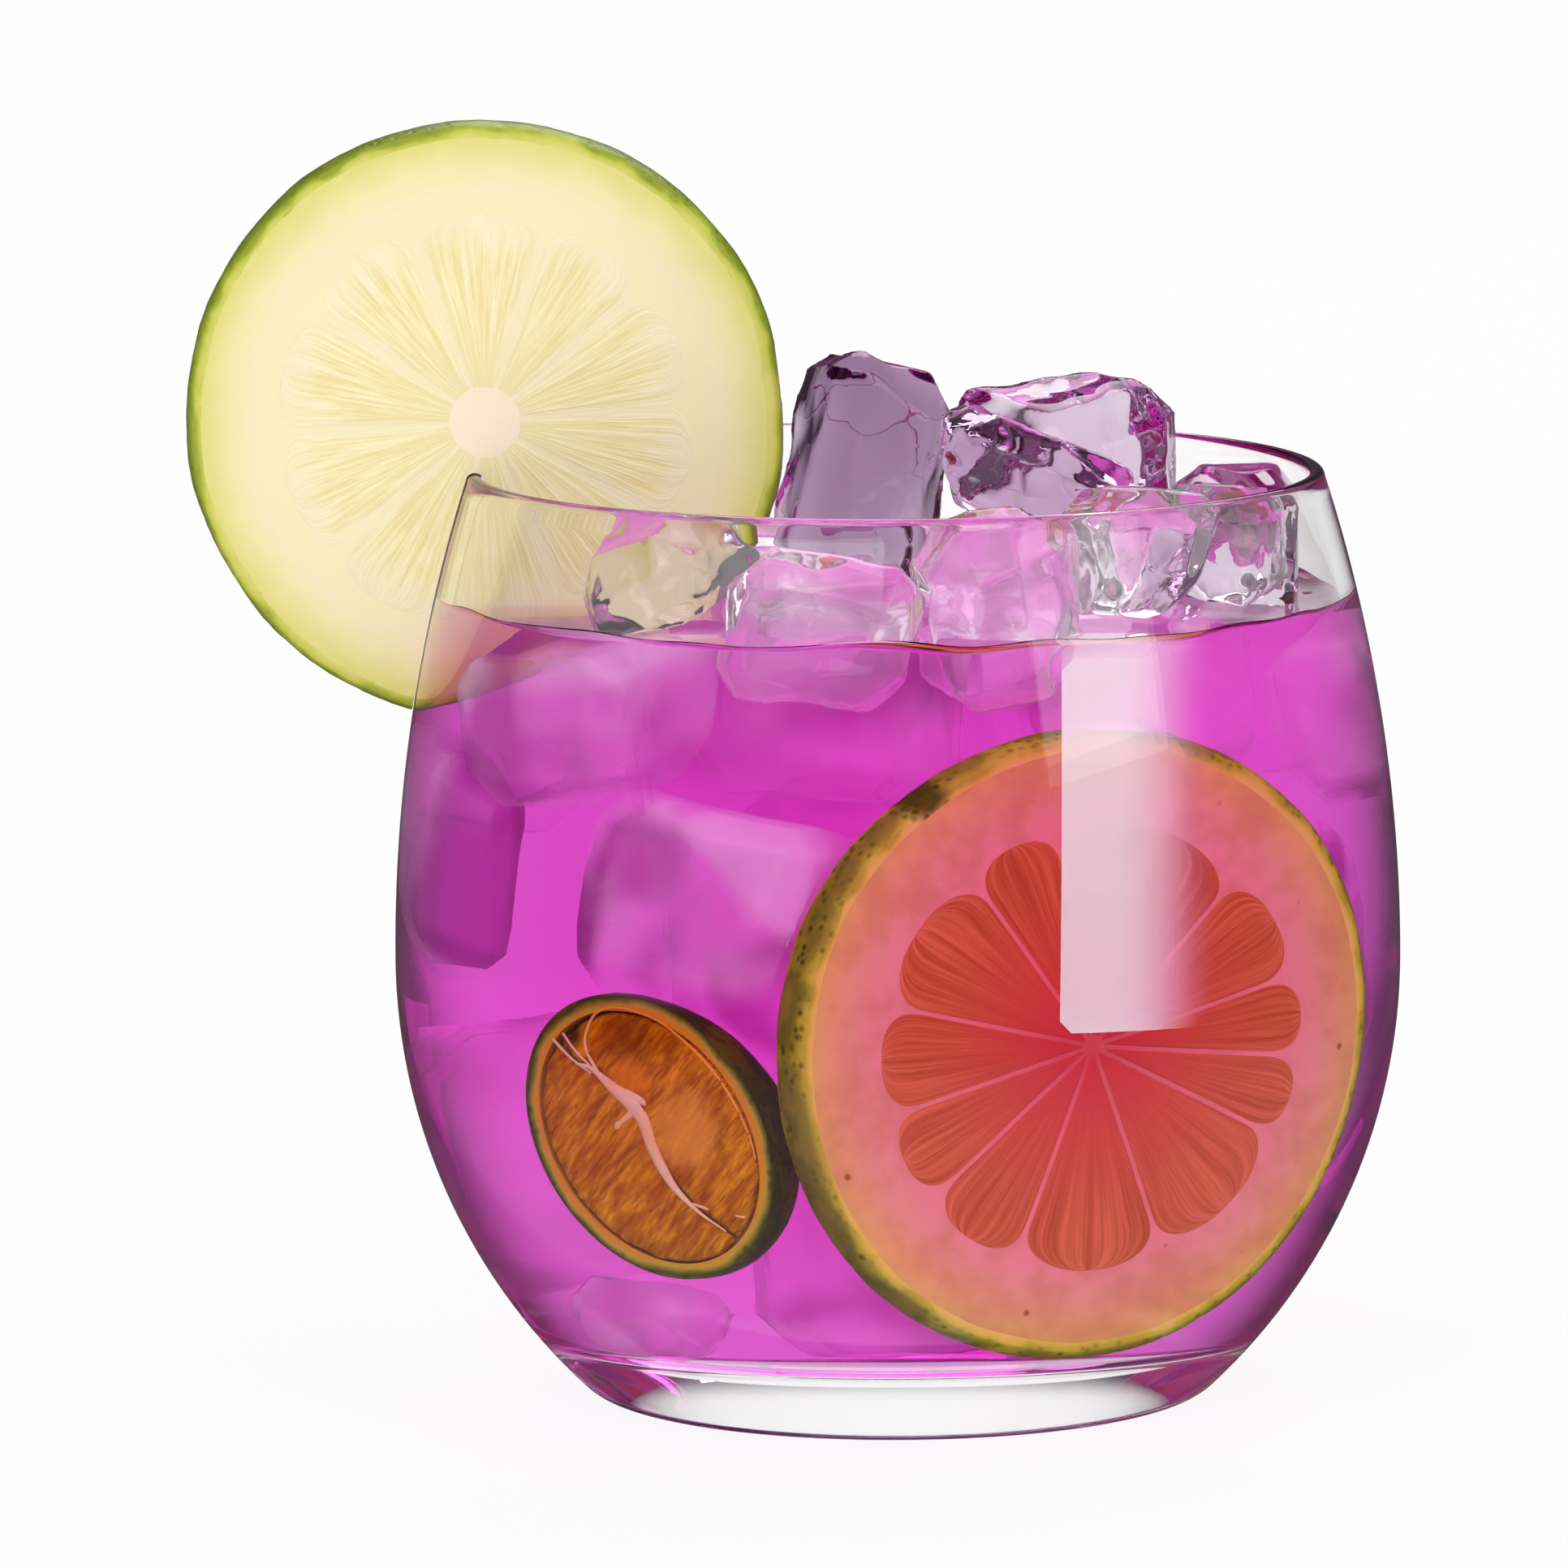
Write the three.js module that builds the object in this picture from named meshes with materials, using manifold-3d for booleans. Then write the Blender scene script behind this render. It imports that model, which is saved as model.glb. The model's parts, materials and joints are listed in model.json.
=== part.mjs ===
import * as THREE from "three";
import { mergeVertices } from "three/addons/utils/BufferGeometryUtils.js";
import { ConvexGeometry } from "three/addons/geometries/ConvexGeometry.js";
import Module from "manifold-3d";

const wasm = await Module();
wasm.setup();
const degree = Math.PI / 180;

// Sizes are in mm. The origin is the centre of the foot, +Z is up and -Y faces the viewer.

// Glass
const glassHeight = 83.2;
const bellyRadius = 45;
const bellyHeight = 39.5;
const rimRadius = 38.3;
const footRadius = 25.5;
const heelRounding = 4.5;
const wallThickness = 1.8;
const lipThickness = 1.5;
const baseThickness = 8;
const floorRadius = 26.5;
const floorRounding = 5;
const floorCrown = 2;

// Space between pieces that touch
const fitGap = 0.3;

// Drink, measured down from the rim
const headspace = 12;
const drinkLevel = glassHeight - headspace;
const drinkDepth = drinkLevel - baseThickness;

// Citrus wheel hung on the rim by a slit. Its segments share the full turn in the ratio of their sweeps.
const rimWheel = {
  radius: 27,
  thickness: 5,
  peel: 1.4,
  crown: 0.5,
  pulpRadius: 18.8,
  coreRadius: 3.2,
  membrane: 0.8,
  cornerShare: 0.22,
  firstMembrane: -90 * degree,
  sweeps: [36, 38, 33, 35, 32, 40, 34, 37, 39, 36],
};
const slitEndRadius = 4.5;

// Citrus wheel standing in the drink, with its lower edge in the corner of the floor. Its reach is a share
// of the way out to where its sides would meet the wall.
const drinkWheel = {
  radius: 27,
  thickness: 4.4,
  peel: 1.5,
  crown: 0.5,
  pulpRadius: 19,
  coreRadius: 2.2,
  membrane: 0.8,
  cornerShare: 0.22,
  firstMembrane: 125 * degree,
  sweeps: [41, 29, 25, 29, 41, 42, 21, 21, 32, 53, 26],
};
const drinkWheelTurn = 27.5 * degree;
const drinkWheelAround = 31 * degree;
const drinkWheelReach = 0.878;

// Small citrus cut in half along its length, in the drink: reach is a share of the inside radius,
// height a share of the depth of the drink. It lies beside the wheel, this distance from centre to centre.
const halfLength = 26.7;
const halfWidth = 21.7;
const halfDepth = 12.5;
const halfPeel = 1.5;
const halfCore = 0.9;
const halfMembrane = 0.6;
const halfSegments = 4;
const halfTilt = -41 * degree;
const halfReach = 0.78;
const halfHeightShare = 0.319;
const fruitDistance = 34.3;

// Ice: sizes are shares of the edge and, upwards, of the rise. Reach is a share of the inside radius,
// and angles are in degrees. A sunk block's height above the floor is a share of the depth of the
// drink. The height of a block near the top is measured from the drink, as a share of the rise.
// Melt is the share of the rounding that a block has where it is less melted than the others.
const iceShare = 4 / 9;
const iceEdge = iceShare * bellyRadius;
const iceRise = 20;
const iceRounding = 3;
const iceUneven = 0.4;
const iceCornerStep = 2.3;
const iceDraft = 0.08;
const sunkIce = [
  { name: "ice_sunk_02", size: [0.7, 0.6, 0.42], turn: -50, reach: 0.8, height: 0.063, tilt: [0, 4, -30] },
  { name: "ice_sunk_03", size: [1, 1, 0.95], turn: 166, reach: 0.22, height: 0.17, tilt: [6, -4, 20] },
  { name: "ice_sunk_04", size: [0.95, 0.9, 0.9], turn: -117, reach: 0.57, height: 0.27, tilt: [-10, 8, 55] },
  { name: "ice_sunk_05", size: [1, 1, 1], turn: 104, reach: 0.48, height: 0.515, tilt: [8, -12, 30] },
  { name: "ice_sunk_06", size: [1, 0.95, 1], turn: -117, reach: 0.1, height: 0.505, tilt: [-12, 6, 10] },
  { name: "ice_sunk_07", size: [0.6, 1, 0.95], turn: -85, reach: 0.78, height: 0.655, tilt: [0, 6, -6] },
  { name: "ice_sunk_08", size: [0.95, 0.95, 0.95], turn: 176, reach: 0.6, height: 0.545, tilt: [5, 8, -25] },
  { name: "ice_sunk_09", size: [1, 0.75, 0.95], turn: -31, reach: 0.7, height: 0.62, tilt: [-8, 10, -25] },
];
const highIce = [
  {
    name: "ice_sunk_01",
    size: [0.67, 1, 1.6],
    turn: 31.9,
    reach: 0.885,
    height: -0.84,
    tilt: [0, 2, 4],
    melt: 0.3,
  },
  { name: "ice_sunk_10", size: [1.05, 0.9, 0.72], turn: -56, reach: 0.73, height: -0.404, tilt: [10, -6, -50] },
  { name: "ice_sunk_11", size: [0.95, 0.95, 0.95], turn: -22, reach: 0.36, height: -0.324, tilt: [-6, 8, 20] },
  { name: "ice_sunk_12", size: [1, 1, 0.95], turn: 82, reach: 0.36, height: -0.372, tilt: [5, -6, 12] },
  { name: "ice_sunk_13", size: [0.95, 1, 0.95], turn: -146, reach: 0.3, height: -0.679, tilt: [-7, -5, -12] },
  { name: "ice_sunk_14", size: [0.9, 0.9, 0.9], turn: -121, reach: 0.73, height: -0.679, tilt: [6, 5, 35] },
  { name: "ice_sunk_15", size: [0.95, 0.95, 0.9], turn: 136, reach: 0.63, height: -0.501, tilt: [-5, 7, 40] },
  { name: "ice_sunk_16", size: [0.75, 0.9, 0.75], turn: 95, reach: 0.79, height: -0.566, tilt: [4, -6, 8] },
];
const topIce = [
  { name: "ice_front_1", size: [0.75, 0.65, 0.5], turn: -46, reach: 0.74, height: 0.25, tilt: [25, -20, -40] },
  { name: "ice_front_2", size: [0.85, 0.6, 0.7], turn: -13, reach: 0.76, height: 0.05, tilt: [-8, 6, -10] },
  { name: "ice_front_3", size: [0.7, 0.65, 0.85], turn: 18, reach: 0.7, height: 0.125, tilt: [6, -10, 15] },
  { name: "ice_front_4", size: [0.7, 0.6, 0.6], turn: 43, reach: 0.78, height: 0.34, tilt: [-6, 8, 40] },
  { name: "ice_front_5", size: [0.6, 0.5, 0.56], turn: 67, reach: 0.84, height: 0.33, tilt: [4, 6, 68] },
  { name: "ice_peak", size: [0.7, 0.65, 1.15], turn: -167, reach: 0.34, height: 0.46, tilt: [-4, 18, 20] },
  { name: "ice_slab", size: [1, 0.75, 0.45], turn: 73, reach: 0.36, height: 0.55, tilt: [-6, 25, 8] },
  { name: "ice_back", size: [0.85, 0.8, 0.8], turn: 136, reach: 0.63, height: 0.5, tilt: [8, -10, 32] },
  { name: "ice_right", size: [0.6, 0.6, 0.75], turn: 90, reach: 0.79, height: 0.25, tilt: [-4, 6, 12] },
  { name: "ice_left", size: [0.8, 0.8, 0.85], turn: -127, reach: 0.73, height: 0.3, tilt: [-8, -8, 30] },
];

const roundSteps = 48;
const wheelSteps = 40;
const floorSteps = 4;
const ballSteps = [20, 12];

const colours = {
  glass: 0xe3ecec,
  drink: 0xc23aa0,
  ice: 0xe9e6f4,
  peel: 0x9fae3a,
  pith: 0xf0e6c8,
  pulp: 0xf2df96,
  halfPeel: 0x4c5a24,
  halfPulp: 0xd98a1f,
};
const finish = {
  glass: { roughness: 0.03, metalness: 0, transparent: true, opacity: 0.35 },
  drink: { roughness: 0.05, metalness: 0, transparent: true, opacity: 0.6 },
  ice: { roughness: 0.1, metalness: 0, transparent: true, opacity: 0.6 },
  peel: { roughness: 0.45, metalness: 0 },
  pith: { roughness: 0.6, metalness: 0 },
  pulp: { roughness: 0.3, metalness: 0 },
  halfPeel: { roughness: 0.45, metalness: 0 },
  halfPulp: { roughness: 0.3, metalness: 0 },
};

function piece(name, geometry, look) {
  const material = new THREE.MeshStandardMaterial({ color: colours[look], ...finish[look] });
  const mesh = new THREE.Mesh(geometry, material);
  mesh.name = name;
  return mesh;
}

function solidOf(geometry) {
  const bare = geometry.clone();
  bare.deleteAttribute("normal");
  bare.deleteAttribute("uv");
  const merged = mergeVertices(bare, 1e-4);
  const index = merged.index.array;
  const triangles = [];
  for (let i = 0; i < index.length; i += 3) {
    const [a, b, c] = index.slice(i, i + 3);
    if (a !== b && b !== c && c !== a) triangles.push(a, b, c);
  }
  return new wasm.Manifold(
    new wasm.Mesh({
      numProp: 3,
      vertProperties: new Float32Array(merged.attributes.position.array),
      triVerts: new Uint32Array(triangles),
    }),
  );
}

function geometryOf(solid) {
  const { vertProperties, triVerts } = solid.getMesh();
  const geometry = new THREE.BufferGeometry();
  geometry.setAttribute("position", new THREE.BufferAttribute(vertProperties, 3));
  geometry.setIndex(new THREE.BufferAttribute(triVerts, 1));
  geometry.computeVertexNormals();
  return geometry;
}

function box(width, depth, height, x, y, z) {
  return solidOf(new THREE.BoxGeometry(width, depth, height).translate(x, y, z));
}

function arc(centreX, centreY, radius, from, to, steps) {
  const points = [];
  for (let i = 0; i <= steps; i += 1) {
    const angle = from + ((to - from) * i) / steps;
    points.push(
      new THREE.Vector2(centreX + radius * Math.cos(angle), centreY + radius * Math.sin(angle)),
    );
  }
  return points;
}

function lathe(points, steps) {
  return new THREE.LatheGeometry(points, steps).rotateX(Math.PI / 2);
}

// Two arcs that meet upright at the belly, the lower one running into a rounded edge round a floor that
// rises by the crown to its middle
function bodyCurve({ belly, top, topHeight, flat, edge, floor, crown }) {
  const rise = topHeight - bellyHeight;
  const lean = belly - top;
  const upper = (rise * rise + lean * lean) / (2 * lean);
  const drop = bellyHeight - floor - edge;
  const reach = belly - flat;
  const lower = (reach * reach + drop * drop - edge * edge) / (2 * (reach - edge));
  return { belly, flat, edge, floor, crown, upper, lower, drop };
}

// Height of the floor, its rounded edge or the wall below the belly
function floorAt({ belly, flat, edge, floor, crown, lower }, radius) {
  const lowerMiddle = belly - lower;
  const edgeEnd = lowerMiddle + (lower * (flat - lowerMiddle)) / (lower - edge);
  if (radius > edgeEnd) return bellyHeight - Math.sqrt(lower ** 2 - (radius - lowerMiddle) ** 2);
  if (radius > flat) return floor + edge - Math.sqrt(edge ** 2 - (radius - flat) ** 2);
  return floor + crown * (1 - (radius / flat) ** 2);
}

function radiusAt(curve, height, inset) {
  const bend = height > bellyHeight ? curve.upper : curve.lower;
  return curve.belly - bend + Math.sqrt((bend - inset) ** 2 - (height - bellyHeight) ** 2);
}

function bodyPoints(curve, inset, topHeight) {
  const { belly, flat, edge, floor, crown, upper, lower, drop } = curve;
  const edgeAngle = -Math.atan2(drop, flat - belly + lower);
  const topAngle = Math.asin((topHeight - bellyHeight) / (upper - inset));
  const middle = [];
  for (let i = 0; i < (crown > 0 ? floorSteps : 1); i += 1) {
    const radius = (flat * i) / floorSteps;
    middle.push(new THREE.Vector2(radius, floorAt(curve, radius) + inset));
  }
  return [
    ...middle,
    ...arc(flat, floor + edge, edge - inset, -Math.PI / 2, edgeAngle, 3),
    ...arc(belly - lower, bellyHeight, lower - inset, edgeAngle, 0, 6).slice(1),
    ...arc(belly - upper, bellyHeight, upper - inset, 0, topAngle, 4).slice(1),
  ];
}

// Glass
const lipRadius = lipThickness / 2;
const lipHeight = glassHeight - lipRadius;
const outside = bodyCurve({
  belly: bellyRadius,
  top: rimRadius,
  topHeight: lipHeight,
  flat: footRadius,
  edge: heelRounding,
  floor: 0,
  crown: 0,
});
const inside = bodyCurve({
  belly: bellyRadius - wallThickness,
  top: rimRadius - lipThickness,
  topHeight: lipHeight,
  flat: floorRadius,
  edge: floorRounding,
  floor: baseThickness,
  crown: floorCrown,
});
const glassPoints = [
  ...bodyPoints(outside, 0, lipHeight),
  ...arc(rimRadius - lipRadius, lipHeight, lipRadius, 0, Math.PI, 4).slice(1, -1),
  ...bodyPoints(inside, 0, lipHeight).reverse(),
];
const glass = piece("glass", lathe(glassPoints, roundSteps), "glass");

// Room for what is in the glass, open upwards
const roomTop = glassHeight + 3 * iceRise;
const roomPoints = bodyPoints(inside, fitGap, glassHeight);
const roomMouth = roomPoints[roomPoints.length - 1].x;
roomPoints.push(new THREE.Vector2(roomMouth, roomTop), new THREE.Vector2(0, roomTop));
const room = solidOf(lathe(roomPoints, roundSteps));
const mouthPoints = [
  new THREE.Vector2(0, 0),
  new THREE.Vector2(roomMouth, 0),
  new THREE.Vector2(roomMouth, roomTop),
  new THREE.Vector2(0, roomTop),
];
const mouthRoom = room.intersect(solidOf(lathe(mouthPoints, roundSteps)));

// Radius at which the two sides of a segment are still apart at its tip
const tipMargin = 1.2;
function tipReach(offset, sweep) {
  return (tipMargin * offset) / Math.sin(sweep / 2);
}

// Outline of one citrus segment, drawn in from its socket by the inset
function segmentShape(wheel, from, to, inset) {
  const offset = wheel.membrane / 2 + inset;
  const inner = Math.max(wheel.coreRadius + inset, tipReach(offset, to - from));
  const outer = wheel.pulpRadius - inset;
  const side = (radius, angle, way) => {
    const along = Math.sqrt(radius * radius - offset * offset);
    return new THREE.Vector2(
      along * Math.cos(angle) - way * offset * Math.sin(angle),
      along * Math.sin(angle) + way * offset * Math.cos(angle),
    );
  };
  const round = wheel.cornerShare * outer * (to - from);
  const bend = round / outer;
  const start = side(inner, from, 1);
  const firstSide = side(outer - round, from, 1);
  const firstCorner = side(outer, from, 1);
  const lastCorner = side(outer, to, -1);
  const lastSide = side(outer - round, to, -1);
  const end = side(inner, to, -1);
  const firstAngle = firstCorner.angle() + bend;
  const sweep = to - from - 2 * (bend + Math.asin(offset / outer));
  const shape = new THREE.Shape();
  shape.moveTo(start.x, start.y);
  shape.lineTo(firstSide.x, firstSide.y);
  shape.quadraticCurveTo(
    firstCorner.x,
    firstCorner.y,
    outer * Math.cos(firstAngle),
    outer * Math.sin(firstAngle),
  );
  shape.absarc(0, 0, outer, firstAngle, firstAngle + sweep, false);
  shape.quadraticCurveTo(lastCorner.x, lastCorner.y, lastSide.x, lastSide.y);
  shape.lineTo(end.x, end.y);
  shape.closePath();
  return shape;
}

function membraneAngles({ firstMembrane, sweeps }) {
  const total = sweeps.reduce((sum, sweep) => sum + sweep, 0);
  const angles = [firstMembrane];
  for (const sweep of sweeps) {
    angles.push(angles[angles.length - 1] + (sweep * 2 * Math.PI) / total);
  }
  return angles;
}

function slice(shape, thickness) {
  return new THREE.ExtrudeGeometry(shape, {
    depth: thickness,
    bevelEnabled: false,
    curveSegments: 3,
  }).translate(0, 0, -thickness / 2);
}

// Citrus wheel lying in its own XY plane, with the solid taken out of it given as slit
function citrusWheel(name, wheel, slit) {
  const { radius, thickness, peel, crown } = wheel;
  const half = thickness / 2;
  const peelInner = radius - peel;
  const peelGeometry = lathe(
    [
      new THREE.Vector2(peelInner, -half),
      new THREE.Vector2(radius - crown, -half),
      new THREE.Vector2(radius, 0),
      new THREE.Vector2(radius - crown, half),
      new THREE.Vector2(peelInner, half),
      new THREE.Vector2(peelInner, -half),
    ],
    wheelSteps,
  );
  const angles = membraneAngles(wheel);
  const pithRim = peelInner - fitGap;
  const pithShape = new THREE.Shape();
  for (let i = 0; i < wheelSteps; i += 1) {
    const angle = (i * 2 * Math.PI) / wheelSteps;
    const point = [pithRim * Math.cos(angle), pithRim * Math.sin(angle)];
    if (i === 0) pithShape.moveTo(...point);
    else pithShape.lineTo(...point);
  }
  const segments = [];
  for (let i = 0; i < wheel.sweeps.length; i += 1) {
    const socket = segmentShape(wheel, angles[i], angles[i + 1], 0);
    pithShape.holes.push(new THREE.Path(socket.getPoints(3)));
    segments.push(slice(segmentShape(wheel, angles[i], angles[i + 1], fitGap), thickness));
  }
  const cut = (geometry) => {
    if (!slit) return geometry;
    return geometryOf(solidOf(geometry).subtract(slit));
  };
  const group = new THREE.Group();
  group.name = name;
  group.add(piece(`${name}_peel`, cut(peelGeometry), "peel"));
  group.add(piece(`${name}_pith`, cut(slice(pithShape, thickness)), "pith"));
  segments.forEach((geometry, i) => {
    const number = String(i + 1).padStart(2, "0");
    const beside = i === 0 || i === segments.length - 1;
    group.add(piece(`${name}_segment_${number}`, beside ? cut(geometry) : geometry, "pulp"));
  });
  return group;
}

function wheelBlank(wheel, grow) {
  const half = wheel.thickness / 2 + grow;
  const points = [
    new THREE.Vector2(0, -half),
    new THREE.Vector2(wheel.radius - wheel.crown + grow, -half),
    new THREE.Vector2(wheel.radius + grow, 0),
    new THREE.Vector2(wheel.radius - wheel.crown + grow, half),
    new THREE.Vector2(0, half),
  ];
  return lathe(points, wheelSteps);
}

function placed(geometry, holder) {
  holder.updateMatrixWorld(true);
  return solidOf(geometry.clone().applyMatrix4(holder.matrixWorld));
}

// Rim wheel: its slit runs along the chord of the wall from the lip to the edge of the wheel
const slitLength = rimWheel.radius - slitEndRadius;
const lipMiddle = rimRadius - lipRadius;
const slitFootHeight = glassHeight - slitLength;
const slitFootMiddle =
  (radiusAt(outside, slitFootHeight, 0) + radiusAt(inside, slitFootHeight, 0)) / 2;
const rimLean = Math.atan2(slitFootMiddle - lipMiddle, slitLength);
const wallBulge = (slitLength * slitLength) / (8 * outside.upper);
const slitWidth = wallThickness + 2 * (wallBulge + fitGap);
const slitReach = slitLength + rimWheel.radius;
const slit = box(
  slitWidth,
  slitReach,
  2 * rimWheel.thickness,
  0,
  -slitEndRadius - slitReach / 2,
  0,
);
const rimGarnish = citrusWheel("rim_wheel", rimWheel, slit);
const rimDrop = slitEndRadius + fitGap;
rimGarnish.position.set(
  -lipMiddle + rimDrop * Math.sin(rimLean),
  0,
  glassHeight + rimDrop * Math.cos(rimLean),
);
rimGarnish.rotation.set(Math.PI / 2, rimLean, 0, "YXZ");

// Drink wheel: its rim or the edge of one of its faces rests on the floor or in the corner
const wheelHalf = drinkWheel.thickness / 2;
const wheelRoom = bellyRadius - wallThickness - fitGap;
const wheelReach =
  drinkWheelReach * (Math.sqrt(wheelRoom ** 2 - drinkWheel.radius ** 2) - wheelHalf);
const wheelSeat = Math.max(
  floorAt(inside, wheelReach) + drinkWheel.crown,
  floorAt(inside, wheelReach + wheelHalf),
  floorAt(inside, wheelReach - wheelHalf),
);
const sunkWheel = citrusWheel("drink_wheel", drinkWheel, null);
sunkWheel.position.set(
  wheelReach * Math.sin(drinkWheelAround),
  -wheelReach * Math.cos(drinkWheelAround),
  wheelSeat + fitGap + drinkWheel.radius - drinkWheel.crown,
);
sunkWheel.rotation.set(Math.PI / 2, 0, drinkWheelTurn, "ZYX");

// Half citrus: its cut face is its own XY plane and its length runs along X
function ellipsoid(length, width, depth) {
  const ball = new THREE.SphereGeometry(1, ...ballSteps).rotateX(Math.PI / 2);
  return solidOf(ball.scale(length / 2, width / 2, depth));
}

function wedge(from, to, inset) {
  const offset = halfMembrane / 2 + inset;
  const inner = Math.max(halfCore + inset, tipReach(offset, to - from));
  const outer = halfLength;
  const corner = (radius, angle, way) => {
    const along = Math.sqrt(radius * radius - offset * offset);
    return new THREE.Vector2(
      along * Math.cos(angle) - way * offset * Math.sin(angle),
      along * Math.sin(angle) + way * offset * Math.cos(angle),
    );
  };
  const shape = new THREE.Shape([
    corner(inner, from, 1),
    corner(outer, from, 1),
    corner(outer, to, -1),
    corner(inner, to, -1),
  ]);
  const prism = new THREE.ExtrudeGeometry(shape, { depth: 2 * halfLength, bevelEnabled: false });
  prism.translate(0, 0, -halfLength).rotateY(Math.PI / 2).rotateX(Math.PI / 2);
  return solidOf(prism);
}

const belowCut = (level) =>
  box(2 * halfLength, 2 * halfLength, 2 * halfLength, 0, 0, level - halfLength);
const below = belowCut(0);
const skinInset = 2 * halfPeel;
const fleshInset = 2 * (halfPeel + fitGap);
const halfBlank = (grow) => ellipsoid(halfLength + 2 * grow, halfWidth + 2 * grow, halfDepth + grow);
const skinHollow = ellipsoid(halfLength - skinInset, halfWidth - skinInset, halfDepth - halfPeel);
const flesh = ellipsoid(
  halfLength - fleshInset,
  halfWidth - fleshInset,
  halfDepth - halfPeel - fitGap,
).intersect(below);
const halfCitrus = new THREE.Group();
halfCitrus.name = "half_citrus";
const halfSkin = halfBlank(0).subtract(skinHollow).intersect(below);
halfCitrus.add(piece("half_citrus_peel", geometryOf(halfSkin), "halfPeel"));
let webs = flesh;
const halfSweep = Math.PI / halfSegments;
for (let i = 0; i < halfSegments; i += 1) {
  const from = i * halfSweep - Math.PI;
  const to = from + halfSweep;
  const first = i === 0 ? from - halfSweep / 2 : from;
  const last = i === halfSegments - 1 ? to + halfSweep / 2 : to;
  webs = webs.subtract(wedge(first, last, 0));
  const segment = flesh.intersect(wedge(first, last, fitGap));
  halfCitrus.add(piece(`half_citrus_segment_${i + 1}`, geometryOf(segment), "halfPulp"));
}
halfCitrus.add(piece("half_citrus_membrane", geometryOf(webs), "pith"));
const halfLevel = baseThickness + halfHeightShare * drinkDepth;
const halfOut = halfReach * radiusAt(inside, halfLevel, 0);
const fruitAngle = Math.acos(
  (wheelReach ** 2 + halfOut ** 2 - fruitDistance ** 2) / (2 * wheelReach * halfOut),
);
const halfTurn = drinkWheelAround - fruitAngle;
halfCitrus.position.set(
  halfOut * Math.sin(halfTurn),
  -halfOut * Math.cos(halfTurn),
  halfLevel,
);
const facing = new THREE.Quaternion().setFromEuler(new THREE.Euler(Math.PI / 2, 0, halfTurn, "ZYX"));
const spin = new THREE.Quaternion().setFromEuler(new THREE.Euler(0, 0, halfTilt));
halfCitrus.quaternion.copy(facing.multiply(spin));

// Ice: a block that narrows downwards, each corner and edge melted off by its own amount. A corner that
// is moved out with its faces is cut by this share of the move more.
const cornerGrowth = 0.6;
function iceGeometry(block, grow) {
  const edges = [iceEdge, iceEdge, iceRise];
  const [x, y, z] = block.size.map((share, axis) => (share * edges[axis]) / 2 + grow);
  const points = [];
  for (let corner = 0; corner < 8; corner += 1) {
    const uneven = 1 + iceUneven * Math.sin(iceCornerStep * corner + block.turn);
    const cut = iceRounding * uneven * (block.melt ?? 1) + cornerGrowth * grow;
    const signs = [corner & 1, corner & 2, corner & 4].map((bit) => (bit ? 1 : -1));
    points.push(
      new THREE.Vector3(x, y - cut, z - cut),
      new THREE.Vector3(x - cut, y, z - cut),
      new THREE.Vector3(x - cut, y - cut, z),
    );
    for (const point of points.slice(-3)) point.multiply(new THREE.Vector3(...signs));
  }
  for (const point of points) {
    const widen = 1 + (iceDraft * point.z) / (2 * z);
    point.x *= widen;
    point.y *= widen;
  }
  return new ConvexGeometry(points);
}

function iceHolder(block, height) {
  const wall = radiusAt(inside, Math.min(height, glassHeight), 0);
  const angle = block.turn * degree;
  const holder = new THREE.Object3D();
  holder.position.set(
    block.reach * wall * Math.sin(angle),
    -block.reach * wall * Math.cos(angle),
    height,
  );
  const [tiltX, tiltY, turnZ] = block.tilt.map((value) => value * degree);
  holder.rotation.set(tiltX, tiltY, turnZ, "ZYX");
  return holder;
}

const keepOut = [
  placed(wheelBlank(rimWheel, fitGap), rimGarnish),
  placed(wheelBlank(drinkWheel, fitGap), sunkWheel),
  placed(geometryOf(halfBlank(fitGap).intersect(belowCut(fitGap))), halfCitrus),
];
const ice = new THREE.Group();
ice.name = "ice";
function addIce(block, height, space) {
  const holder = iceHolder(block, height);
  let solid = placed(iceGeometry(block, 0), holder).intersect(space);
  for (const other of keepOut) solid = solid.subtract(other);
  keepOut.push(placed(iceGeometry(block, fitGap), holder));
  const geometry = geometryOf(solid).applyMatrix4(holder.matrixWorld.clone().invert());
  const mesh = piece(block.name, geometry, "ice");
  mesh.position.copy(holder.position);
  mesh.quaternion.copy(holder.quaternion);
  ice.add(mesh);
}
for (const block of sunkIce) addIce(block, baseThickness + block.height * drinkDepth, room);
for (const block of highIce) addIce(block, drinkLevel + block.height * iceRise, room);
for (const block of topIce) addIce(block, drinkLevel + block.height * iceRise, mouthRoom);

// Drink: fills the glass round everything that sits in it
const drinkPoints = bodyPoints(inside, fitGap, drinkLevel);
drinkPoints.push(new THREE.Vector2(0, drinkLevel));
let drinkSolid = solidOf(lathe(drinkPoints, roundSteps));
for (const other of keepOut) drinkSolid = drinkSolid.subtract(other);
const drink = piece("drink", geometryOf(drinkSolid), "drink");

const mojito = new THREE.Group();
mojito.name = "mojito_glass";
mojito.add(glass, drink, ice, sunkWheel, halfCitrus, rimGarnish);

export default mojito;
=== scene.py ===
import json
import math
from functools import partial

import bmesh
import bpy
import numpy as np
from mathutils import Matrix, Vector, noise

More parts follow.
